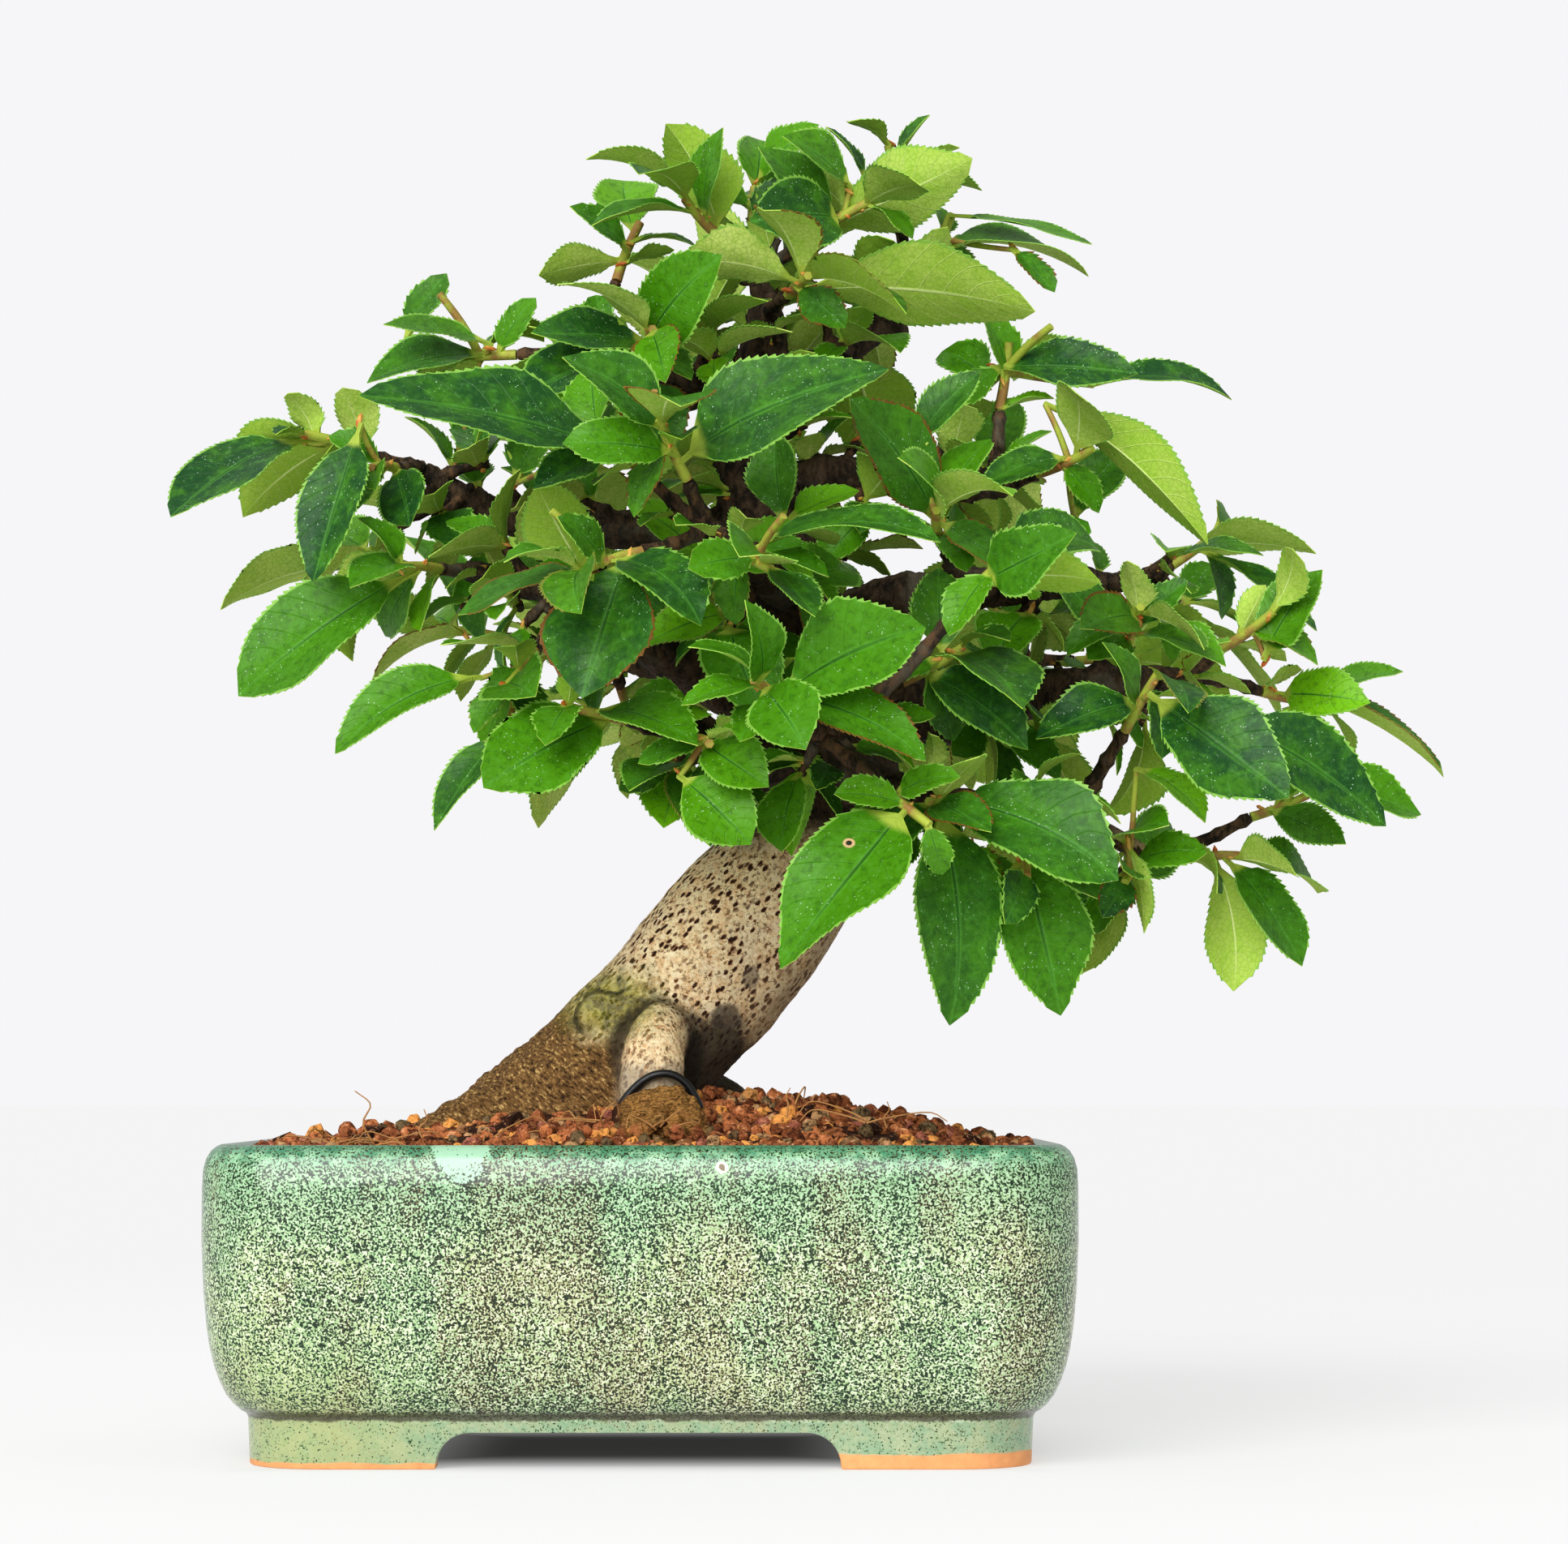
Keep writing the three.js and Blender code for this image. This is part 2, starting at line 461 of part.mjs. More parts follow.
// Takes the cells within a limb's radius and a little more of its centre line
function takeLimb({ points, radii }, owner) {
  const curve = curveThrough(points);
  const samples = 24 * (points.length - 1);
  for (let sample = 0; sample <= samples; sample += 1) {
    const centre = curve.getPoint(sample / samples);
    const reach = radiusAt(radii, sample / samples) + cells.woodMargin;
    const [i, j, k] = cellOf(centre);
    const span = Math.ceil(reach / cells.size);
    for (let a = i - span; a <= i + span; a += 1) {
      for (let b = j - span; b <= j + span; b += 1) {
        for (let c = k - span; c <= k + span; c += 1) {
          const away = Math.hypot(...[a, b, c].map((cell, axis) => (
            cells.low[axis] + (cell + 0.5) * cells.size - centre.getComponent(axis))));
          if (away < reach) take(cellIndex(a, b, c), owner);
        }
      }
    }
  }
}

// Close-set points all over a leaf, with how far along it each lies
function leafSamples(leaf) {
  const rows = Math.ceil(leaf.length / 0.9);
  const columns = Math.ceil(leaf.width / 1.8);
  const samples = [];
  for (let row = 1; row <= rows; row += 1) {
    for (let column = -columns; column <= columns; column += 1) {
      samples.push([row / rows, leafPoint(leaf, row / rows, 1.08 * column / columns)]);
    }
  }
  return samples;
}

// Whether a leaf runs clear of all that is there. Near its root it may meet its own spray.
function isClear(samples, length, owner) {
  return samples.every(([share, point]) => {
    if (point.z > spray.crownTop) return false;
    const found = taken[cellIndex(...cellOf(point))];
    if (found === cells.free) return true;
    if (found === owner) return share < leafForm.ownShare;
    return share * length < leafForm.rootClear;
  });
}

function takeLeaf(samples, owner) {
  for (const [, point] of samples) {
    const [i, j, k] = cellOf(point);
    for (let a = i - 1; a <= i + 1; a += 1) {
      for (let b = j - 1; b <= j + 1; b += 1) {
        for (let c = k - 1; c <= k + 1; c += 1) take(cellIndex(a, b, c), owner);
      }
    }
  }
}

const viewer = new THREE.Vector3(0, -1, 0);
const skyward = new THREE.Vector3(0, 0, 1);

// Turns a leaf's upper face as far to the viewer as its share says, and otherwise to the sky
function faceFor(along, share) {
  const seen = viewer.clone().addScaledVector(along, -viewer.dot(along)).normalize();
  const other = along.clone().cross(seen);
  if (other.z < 0) other.negate();
  return seen.multiplyScalar(share).addScaledVector(other, Math.sqrt(1 - share * share));
}

// Tries a leaf in turn with ever wider changes until it is clear of the rest, or gives it up
function settle({ owner, draw, settled }, station, wish) {
  for (let attempt = 0; attempt < leafForm.tries; attempt += 1) {
    const loose = attempt / leafForm.tries;
    const [a, b, c, d, e, f] = Array.from({ length: 6 }, () => 2 * draw() - 1);
    const { along, up, length, width } = wish(station, loose, a, b, c, d);
    const leaf = {
      along, up, length: length + leafForm.sink, width,
      base: station.clone().addScaledVector(along, -leafForm.sink),
      stalkHalf: leafForm.stalkHalfWidth,
      arch: THREE.MathUtils.lerp(...leafForm.arch, (e + 1) / 2),
      fold: THREE.MathUtils.lerp(...leafForm.fold, (f + 1) / 2),
      twist: leafForm.twist * d,
    };
    const samples = leafSamples(leaf);
    if (isClear(samples, leaf.length, owner)) {
      takeLeaf(samples, owner);
      settled.push(leaf);
      return;
    }
  }
}

// A leaf that the front view shows, as its row in the list says
function shownWish({ node }, [bearing, length, share, lean, ratio = 0.57]) {
  const level = Math.cos(lean * DEGREE);
  const tip = new THREE.Vector3(Math.cos(bearing * DEGREE), -Math.sin(lean * DEGREE) / level,
    Math.sin(bearing * DEGREE)).multiplyScalar(length).add(node);
  return (station, loose, a, b, c, d) => {
    const along = tip.clone().sub(station);
    along.x += 0.3 * loose * length * a;
    along.y += 1.1 * loose * length * b;
    along.z += 0.3 * loose * length * c;
    const grown = along.length() * (1 - 0.2 * loose);
    along.normalize();
    const seen = THREE.MathUtils.clamp(share + 0.6 * loose * d, -0.97, 0.97);
    return { along, up: faceFor(along, seen), length: grown, width: grown * ratio };
  };
}

// A leaf that fills its spray, turned on round the stem from the one before
function fillerWish(carried, number, draw, heart) {
  const { along: axis, node } = carried;
  const out = node.clone().sub(heart).normalize();
  const first = axis.clone().cross(skyward).normalize();
  const second = axis.clone().cross(first);
  const [shortest, spread] = node.y > 15 ? spray.backFillerLength : spray.fillerLength;
  const length = shortest + spread * draw() ** 1.5;
  const ratio = 0.54 + 0.16 * draw();
  return (station, loose, a, b, c, d) => {
    const angle = number * 2.4 + a * (0.4 + 2 * loose);
    const open = 1.05 + 0.35 * b;
    const along = axis.clone().multiplyScalar(Math.cos(open))
      .addScaledVector(first, Math.sin(open) * Math.cos(angle))
      .addScaledVector(second, Math.sin(open) * Math.sin(angle))
      .addScaledVector(out, 0.45);
    along.z += 0.25 * c - 0.1;
    along.normalize();
    const up = out.clone().multiplyScalar(0.55).addScaledVector(skyward, 0.75);
    up.x += 0.4 * c;
    up.y += 0.4 * d;
    up.addScaledVector(along, -up.dot(along)).normalize();
    const grown = length * (1 - 0.3 * loose);
    return { along, up, length: grown, width: grown * ratio };
  };
}

// Where on its stem a leaf starts, the shown ones nearest the wood
function stationOf({ node, along, leaves, more }, number) {
  const last = leaves.length + more - 1;
  const span = Math.min(spray.leafPitch * last, spray.leafSpan);
  return node.clone().addScaledVector(along, span * (number / last - 0.5));
}

// Every spray with its leaves settled, those of the lists before those that fill
function growSprays() {
  const heart = new THREE.Vector3(25, 5, 178);
  const places = placesOnWood();
  const carried = Object.entries(sprays).map(([name, row]) => ({ ...carry(name, row, places), ...row }));
  [trunk, rootStub, ...Object.values(branches)].forEach((wood) => takeLimb(wood, cells.wood));
  carried.forEach((one, number) => {
    one.owner = cells.firstSpray + number;
    one.draw = drawsFrom(spray.seed + 97 * number);
    one.settled = [];
    one.limbs = [one.stem];
    if (one.shoot) {
      const { x, y, z } = one.node;
      one.limbs.push({ points: [[x, y, z], one.shoot], radii: [0.9, 0.75], sides: 4, steps: 1 });
    }
    takeLimb(one.twig, cells.wood);
  });
  carried.forEach((one) => one.limbs.forEach((stem) => takeLimb(stem, one.owner)));
  carried.forEach((one) => one.leaves.forEach((row, number) => (
    settle(one, stationOf(one, number), shownWish(one, row)))));
  carried.forEach((one) => {
    for (let number = 0; number < one.more; number += 1) {
      settle(one, stationOf(one, one.leaves.length + number), fillerWish(one, number, one.draw, heart));
    }
  });
  return carried;
}

// All the tree's wood, grown together in one piece
function makeWood(carried) {
  const limbs = [rootStub, ...roots, ...Object.values(branches), ...carried.map(({ twig }) => twig)];
  return joined([limb(trunk), ...limbs.map((one) => limb(one))]);
}

const soilHeight = (x, y) => {
  const [heapX, heapY] = soil.heapAt;
  const [spreadX, spreadY] = soil.heapSpread;
  const heap = soil.heap * Math.exp(-(((x - heapX) / spreadX) ** 2) - ((y - heapY) / spreadY) ** 2);
  const [lumpX, lumpY] = soil.lumpAt;
  const lump = soil.lump * Math.exp(-((x - lumpX) ** 2 + (y - lumpY) ** 2) / soil.lumpSpread ** 2);
  const inside = pot.inside[1][1];
  const edge = Math.max(Math.abs(x) / (pot.length / 2 - inside), Math.abs(y) / (pot.depth / 2 - inside));
  return soil.rimLevel + (heap + lump) * (1 - Math.min(edge, 1) ** 5);
};

// The soil: filled up inside the pot, heaped and grained on top, hollowed for what stands in it
function makeSoil() {
  const wall = pot.inside.slice(1).reverse().map(([height, inset]) => [height, inset + seat + 0.1]);
  const rings = wall.map(([height, inset]) => potRing(Math.max(height, soil.bottom), inset))
    .filter((ring) => ring[0].z < soil.rimLevel);
  const [, rimInset] = pot.inside[1];
  for (let ring = 0; ring < soil.rings; ring += 1) {
    const share = 1 - (ring / soil.rings) ** 1.15;
    rings.push(potRing(0, rimInset + seat + 0.6).map(({ x, y }) => (
      new THREE.Vector3(x * share, y * share, soilHeight(x * share, y * share)))));
  }
  const draw = drawsFrom(soil.seed);
  const grains = Array.from({ length: soil.grains }, () => {
    const x = (2 * draw() - 1) * (pot.length / 2 - pot.inside[1][1] - 4.5);
    const y = (2 * draw() - 1) * (pot.depth / 2 - pot.inside[1][1] - 4.5);
    const radius = THREE.MathUtils.lerp(...soil.grainRadius, draw());
    return toSolid(new THREE.OctahedronGeometry(radius)
      .rotateZ(draw() * TAU)
      .rotateX(draw() * TAU)
      .translate(x, y, soilHeight(x, y) + 0.15 * radius));
  });
  let body = joined([toSolid(loft(rings)), ...grains]);
  for (const one of [trunk, rootStub, ...roots, rootTie]) body = body.subtract(limb(one, seat + 0.05));
  return toGeometry(body.decompose().sort((a, b) => b.volume() - a.volume())[0]);
}

// Colours and finishes of the materials
const glaze = new THREE.MeshStandardMaterial({ color: '#9fb98f', roughness: 0.25 });
const screen = new THREE.MeshStandardMaterial({ color: '#2b2d2b', roughness: 0.6 });
const granules = new THREE.MeshStandardMaterial({ color: '#9a5a36', roughness: 0.95 });
const bark = new THREE.MeshStandardMaterial({ color: '#8f7c66', roughness: 0.85 });
const band = new THREE.MeshStandardMaterial({ color: '#16181a', roughness: 0.45 });
const foliage = new THREE.MeshStandardMaterial({ color: '#3f7a33', roughness: 0.5 });

const group = new THREE.Group();
function addPiece(name, geometry, material) {
  const mesh = new THREE.Mesh(geometry, material);
  mesh.name = name;
  group.add(mesh);
}

const carried = growSprays();
addPiece('pot', makePot(), glaze);
addPiece('drain_mesh_left', makeDrainMesh(-1), screen);
addPiece('drain_mesh_right', makeDrainMesh(1), screen);
addPiece('soil', makeSoil(), granules);
addPiece('trunk', toGeometry(makeWood(carried)), bark);
addPiece('root_tie', toGeometry(limb(rootTie)), band);
for (const { name, limbs, settled } of carried) {
  const solids = [...limbs.map((stem) => limb(stem)), ...settled.map(makeLeaf)];
  addPiece(`spray_${name}`, toGeometry(joined(solids)), foliage);
}

// The whole is centred on its own footprint
const box = new THREE.Box3().setFromObject(group);
const middle = box.getCenter(new THREE.Vector3());
group.position.set(-middle.x, -middle.y, 0);

export default group;
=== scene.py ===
import math

import bmesh
import bpy
import numpy as np
from mathutils import Matrix, Vector


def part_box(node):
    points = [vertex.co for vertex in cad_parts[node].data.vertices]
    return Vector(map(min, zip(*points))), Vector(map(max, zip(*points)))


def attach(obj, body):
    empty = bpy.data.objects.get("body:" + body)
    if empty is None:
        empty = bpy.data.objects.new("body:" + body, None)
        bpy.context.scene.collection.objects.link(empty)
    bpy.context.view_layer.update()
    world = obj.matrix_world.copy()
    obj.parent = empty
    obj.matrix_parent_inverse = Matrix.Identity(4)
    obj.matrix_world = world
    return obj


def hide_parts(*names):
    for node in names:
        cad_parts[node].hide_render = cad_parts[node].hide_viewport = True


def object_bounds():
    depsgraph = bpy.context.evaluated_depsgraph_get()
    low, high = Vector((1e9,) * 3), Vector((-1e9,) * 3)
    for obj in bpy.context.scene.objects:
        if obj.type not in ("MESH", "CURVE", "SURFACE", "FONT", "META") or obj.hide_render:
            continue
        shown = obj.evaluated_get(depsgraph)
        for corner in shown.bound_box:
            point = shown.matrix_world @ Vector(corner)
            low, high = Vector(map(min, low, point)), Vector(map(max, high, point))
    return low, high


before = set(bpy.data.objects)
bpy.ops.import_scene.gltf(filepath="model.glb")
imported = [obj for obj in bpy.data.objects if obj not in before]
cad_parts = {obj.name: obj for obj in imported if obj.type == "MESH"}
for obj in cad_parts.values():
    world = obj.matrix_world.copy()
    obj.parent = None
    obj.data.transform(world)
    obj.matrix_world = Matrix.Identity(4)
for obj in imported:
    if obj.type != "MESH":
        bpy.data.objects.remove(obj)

cadLow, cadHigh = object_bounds()
mm = 0.001

# The tree's own sizes are in millimetres about the middle of the pot, as in the part's source
potLow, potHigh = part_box("pot")
potMiddle = np.array((potLow + potHigh) / 2) * [1, 1, 0]


def toFrame(points):
    return np.asarray(points, float) * mm + potMiddle


def unit(vector):
    return vector / np.linalg.norm(vector)


def between(ends, share):
    return ends[0] + (ends[1] - ends[0]) * share


# Objects and selection

def deselectAll():
    if bpy.context.object and bpy.context.object.mode != "OBJECT":
        bpy.ops.object.mode_set(mode="OBJECT")
    bpy.ops.object.select_all(action="DESELECT")


def makeActive(piece):
    deselectAll()
    piece.select_set(True)
    bpy.context.view_layer.objects.active = piece


def named(piece, name):
    piece.name = piece.data.name = name
    return piece


def joinPieces(pieces, name):
    makeActive(pieces[0])
    for piece in pieces:
        piece.select_set(True)
    if len(pieces) > 1:
        bpy.ops.object.join()
    return named(bpy.context.object, name)


def settlePlace(piece):  # the object goes to the origin and its place into its mesh
    makeActive(piece)
    bpy.ops.object.transform_apply(location=True, rotation=True, scale=True)
    return piece


def addBox(size, middle):
    deselectAll()
    bpy.ops.mesh.primitive_cube_add(size=1)
    bpy.context.object.scale = size
    bpy.context.object.location = middle
    return settlePlace(bpy.context.object)


def addObject(name, data):
    added = bpy.data.objects.new(name, data)
    bpy.context.scene.collection.objects.link(added)
    return added


def copyOf(master, tone):  # with its own mesh
    copy = master.copy()
    copy.data = master.data.copy()
    bpy.context.scene.collection.objects.link(copy)
    colours = copy.data.color_attributes["tone"].data
    colours.foreach_set("color", np.tile([*tone, 1], len(colours)).ravel())
    return copy


def placesOf(piece):
    places = np.empty(len(piece.data.vertices) * 3)
    piece.data.vertices.foreach_get("co", places)
    return places.reshape(-1, 3)


def addModifier(piece, kind, **settings):
    makeActive(piece)
    modifier = piece.modifiers.new(kind.title(), kind)
    for name, value in settings.items():
        setattr(modifier, name, value)
    bpy.ops.object.modifier_apply(modifier=modifier.name)


def makeDisplace(piece, scale, strength, group=""):
    texture = bpy.data.textures.new("lumps", "CLOUDS")
    texture.noise_scale = scale * mm
    texture.noise_depth = 3
    addModifier(piece, "DISPLACE", texture=texture, strength=strength * mm, mid_level=0.5,
                texture_coords="LOCAL", vertex_group=group)


def smoothByAngle(piece, degrees):
    makeActive(piece)
    bpy.ops.object.shade_smooth_by_angle(angle=math.radians(degrees))


def setMode(mode):
    bpy.ops.object.mode_set(mode=mode)


def pickInEdit(piece, test, kind="VERT"):  # selects what the test says, in edit mode
    bpy.ops.mesh.select_mode(type=kind)
    bpy.ops.mesh.select_all(action="DESELECT")
    shape = bmesh.from_edit_mesh(piece.data)
    parts = {"VERT": shape.verts, "EDGE": shape.edges, "FACE": shape.faces}[kind]
    for part in parts:
        part.select = test(part)
    shape.select_flush_mode()
    bmesh.update_edit_mesh(piece.data)


def coat(piece, *materials):
    piece.data.materials.clear()
    for material in materials:
        piece.data.materials.append(material)
    return piece


def asPiece(piece, slotName, *replaced):
    margin = 1e-5  # nothing goes beyond the part
    kept = np.clip(placesOf(piece), np.array(cadLow) + margin, np.array(cadHigh) - margin)
    piece.data.vertices.foreach_set("co", kept.ravel())
    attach(piece, "root")
    if replaced:
        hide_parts(*replaced)


# Materials

def fill(socket, value):  # with a field, a colour or a number
    if isinstance(value, Field):
        socket.id_data.links.new(value.output, socket)
    else:
        socket.default_value = (*value, 1) if socket.type == "RGBA" else value


def addNode(tree, kind, values=None, **settings):
    node = tree.nodes.new("ShaderNode" + kind)
    for name, value in settings.items():
        setattr(node, name, value)
    for name, value in (values or {}).items():
        fill(node.inputs[name], value)
    return node


class Field:  # what a node gives at each place, to reckon with as with a number

    def __init__(self, output):
        self.output = output

    def into(self, kind, values, result=0, **settings):  # a new node, with this field as its first input
        node = addNode(self.output.id_data, kind, {0: self, **values}, **settings)
        return Field(node.outputs[result])

    def maths(self, kind, *others):
        return self.into("Math", dict(enumerate(others, 1)), operation=kind)

    def __add__(self, other):
        return self.maths("ADD", other)

    def __sub__(self, other):
        return self.maths("SUBTRACT", other)

    def __mul__(self, other):
        return self.maths("MULTIPLY", other)

    def __abs__(self):
        return self.maths("ABSOLUTE")

    def split(self, kind="SeparateXYZ"):
        return [Field(output) for output in addNode(self.output.id_data, kind, {0: self}).outputs]

    def rise(self, low, high, bottom=0, top=1):  # from bottom at low to top at high, whichever is larger
        ends = {"From Min": low, "From Max": high, "To Min": bottom, "To Max": top}
        return self.into("MapRange", ends, interpolation_type="SMOOTHSTEP")

    def mix(self, first, second):  # from the first colour at 0 to the second at 1
        return self.into("Mix", {6: first, 7: second}, 2, data_type="RGBA")

    def stretched(self, scale=(1, 1, 1), turn=(0, 0, 0), shift=(0, 0, 0)):
        return self.into("Mapping", {"Scale": scale, "Rotation": turn, "Location": shift})

    def noise(self, scale, detail=3, roughness=0.55, distortion=0):
        return self.into("TexNoise", {"Scale": scale, "Detail": detail, "Roughness": roughness,
                                      "Distortion": distortion})

    def cells(self, scale, feature="F1"):
        return self.into("TexVoronoi", {"Scale": scale}, feature=feature)


def farFrom(x, z, middle, size):  # how far from a spot on the front, in shares of the spot's half size
    across, up = [((value - m) * (1 / half)).maths("POWER", 2)
                  for value, m, half in zip((x, z), middle, size)]
    return (across + up).maths("SQRT")


class Skin:  # a material, with places on the piece in millimetres from the middle of the pot's feet

    def __init__(self, name, **sockets):
        self.material = bpy.data.materials.new(name)
        self.material.use_nodes = True
        self.shader = self.material.node_tree.nodes["Principled BSDF"]
        self.place = self.given("TexCoord", "Object").stretched((1 / mm,) * 3, shift=tuple(-potMiddle / mm))
        self.set(**sockets)

    def given(self, kind, output, **settings):
        return Field(addNode(self.material.node_tree, kind, **settings).outputs[output])

    def tone(self):  # three random shares that a leaf or a granule has as its own
        return self.given("Attribute", "Color", attribute_name="tone").split("SeparateColor")

    def set(self, **sockets):
        for name, value in sockets.items():
            fill(self.shader.inputs[name.replace("_", " ")], value)

    def finish(self, colour, height=None, strength=0, depth=0):  # the bumps' depth is in millimetres
        self.set(Base_Color=colour)
        if height:
            bump = {"Height": height, "Strength": strength, "Distance": depth * mm}
            self.set(Normal=Field(addNode(self.material.node_tree, "Bump", bump).outputs["Normal"]))
        return self.material


def makePlain(name, colour, roughness):
    skin = Skin(name, Roughness=roughness)
    lighter = tuple(min(part * 1.8 + 0.01, 1) for part in colour)
    return skin.finish(skin.place.noise(0.6, 4).mix(colour, lighter), skin.place.noise(1.6), 0.4, 0.15)


# The pot

pot = {
    "length": 165, "depth": 120, "height": 60, "cornerRadius": 17, "cornerSteps": 12,
    # height and inset from the widest outline, up the outside
    "profile": [(0, 8.8), (8.9, 8.4), (9.7, 8.1), (10.2, 7.2), (11.4, 5.9), (13.2, 4.6), (15.6, 3.5),
                (18.5, 2.5), (22, 1.7), (26, 1.1), (33, 0.5), (42, 0.1), (52, 0.1), (55.4, 0.3), (57.4, 0.8),
                (58.8, 1.6), (59.6, 2.5), (60, 3.3)],
    "lip": [(2.2, 0), (0.9, -0.9), (1.2, -3.5), (1.5, -38)],  # insets and drops from the rim to the floor
    "footWall": 5.4, "underside": 11.5,
    "longArch": 75.2, "shortArch": 37, "archHeight": 6.7, "archRound": 6.2, "archBelow": 10,
    "drainRadius": 7, "drainOffset": 38, "drainHeight": 14, "softEdge": 0.45,
}


def edgeSpan(edge, axis):
    return abs(edge.verts[0].co[axis] - edge.verts[1].co[axis])


def makeArch(width, reach):  # a bar with rounded upper edges, as the gap between two feet
    top, bottom = pot["archHeight"], -pot["archBelow"]
    arch = addBox((width, reach, top - bottom), (0, 0, (top + bottom) / 2))
    setMode("EDIT")
    pickInEdit(arch, lambda edge: all(v.co.z > 0 for v in edge.verts) and edgeSpan(edge, 0) < 0.01, "EDGE")
    bpy.ops.mesh.bevel(offset=pot["archRound"], segments=8, affect="EDGES")
    setMode("OBJECT")
    return arch


def cutWith(piece, cutter):
    addModifier(piece, "BOOLEAN", operation="DIFFERENCE", object=cutter, solver="EXACT")
    bpy.data.objects.remove(cutter)


def makePot():
    length, depth, height = pot["length"], pot["depth"], pot["height"]
    body = addBox((length, depth, height), (0, 0, height / 2))
    setMode("EDIT")
    pickInEdit(body, lambda edge: edgeSpan(edge, 2) > 1, "EDGE")
    bpy.ops.mesh.bevel(offset=pot["cornerRadius"], segments=pot["cornerSteps"], affect="EDGES")
    for level, _ in pot["profile"][1:-1]:
        bpy.ops.mesh.select_all(action="SELECT")
        bpy.ops.mesh.bisect(plane_co=(0, 0, level), plane_no=(0, 0, 1))
    for level, inset in pot["profile"]:
        pickInEdit(body, lambda v: abs(v.co.z - level) < 0.01)
        size = (1 - 2 * inset / length, 1 - 2 * inset / depth, 1)
        bpy.ops.transform.resize(value=size, center_override=(0, 0, level))
    pickInEdit(body, lambda face: face.normal.z > 0.9 and face.calc_center_median().z > height - 0.1, "FACE")
    for inset, drop in pot["lip"]:
        bpy.ops.mesh.inset(thickness=inset)
        bpy.ops.transform.translate(value=(0, 0, drop))
    pickInEdit(body, lambda face: face.normal.z < -0.9 and face.calc_center_median().z < 0.1, "FACE")
    bpy.ops.mesh.inset(thickness=pot["footWall"])
    bpy.ops.mesh.inset(thickness=0.5)
    bpy.ops.transform.translate(value=(0, 0, pot["underside"]))
    setMode("OBJECT")
    cutWith(body, makeArch(pot["longArch"], 2 * depth))
    short = makeArch(pot["shortArch"], 2 * length)
    short.rotation_euler.z = math.pi / 2
    cutWith(body, short)
    for side in (-1, 1):
        deselectAll()
        place = (side * pot["drainOffset"], 0, pot["drainHeight"])
        bpy.ops.mesh.primitive_cylinder_add(vertices=40, radius=pot["drainRadius"], depth=20, location=place)
        cutWith(body, bpy.context.object)
    addModifier(body, "BEVEL", width=pot["softEdge"], segments=2, limit_method="ANGLE",
                angle_limit=math.radians(38))
    body.scale = (mm,) * 3
    body.location = potMiddle
    settlePlace(body)
    smoothByAngle(body, 32)
    return named(body, "glazed_pot")


glaze = {  # its colours, and the middle and half size of two marks on the front
    "celadon": (0.37, 0.55, 0.29), "yellowish": (0.46, 0.55, 0.28), "fleck": (0.84, 0.9, 0.68),
    "brownish": (0.44, 0.42, 0.27), "corner": (0.16, 0.36, 0.22), "upper": (0.26, 0.5, 0.3),
    "foot": (0.22, 0.35, 0.22), "footLight": (0.35, 0.4, 0.24), "rim": (0.07, 0.27, 0.15),
    "rimLight": (0.34, 0.58, 0.36), "lip": (0.07, 0.24, 0.15), "run": (0.36, 0.6, 0.42),
    "oliveAndShade": (0.42, 0.46, 0.16), "greenSpeck": (0.11, 0.2, 0.09), "brownSpeck": (0.17, 0.11, 0.05),
    "darkSpeck": (0.012, 0.03, 0.014), "largeSpeck": (0.02, 0.045, 0.03), "grooveShade": (0.05, 0.04, 0.025),
    "blemish": (0.66, 0.76, 0.55), "brownMark": (0.16, 0.1, 0.04), "underside": (0.13, 0.13, 0.115),
    "clay": (0.62, 0.26, 0.1), "clayLight": (0.9, 0.44, 0.18),
    "runSpot": ((-32.6, 60.5), (5.5, 7.4)), "blemishSpot": ((15.5, 56), (1.3, 1.2)),
}


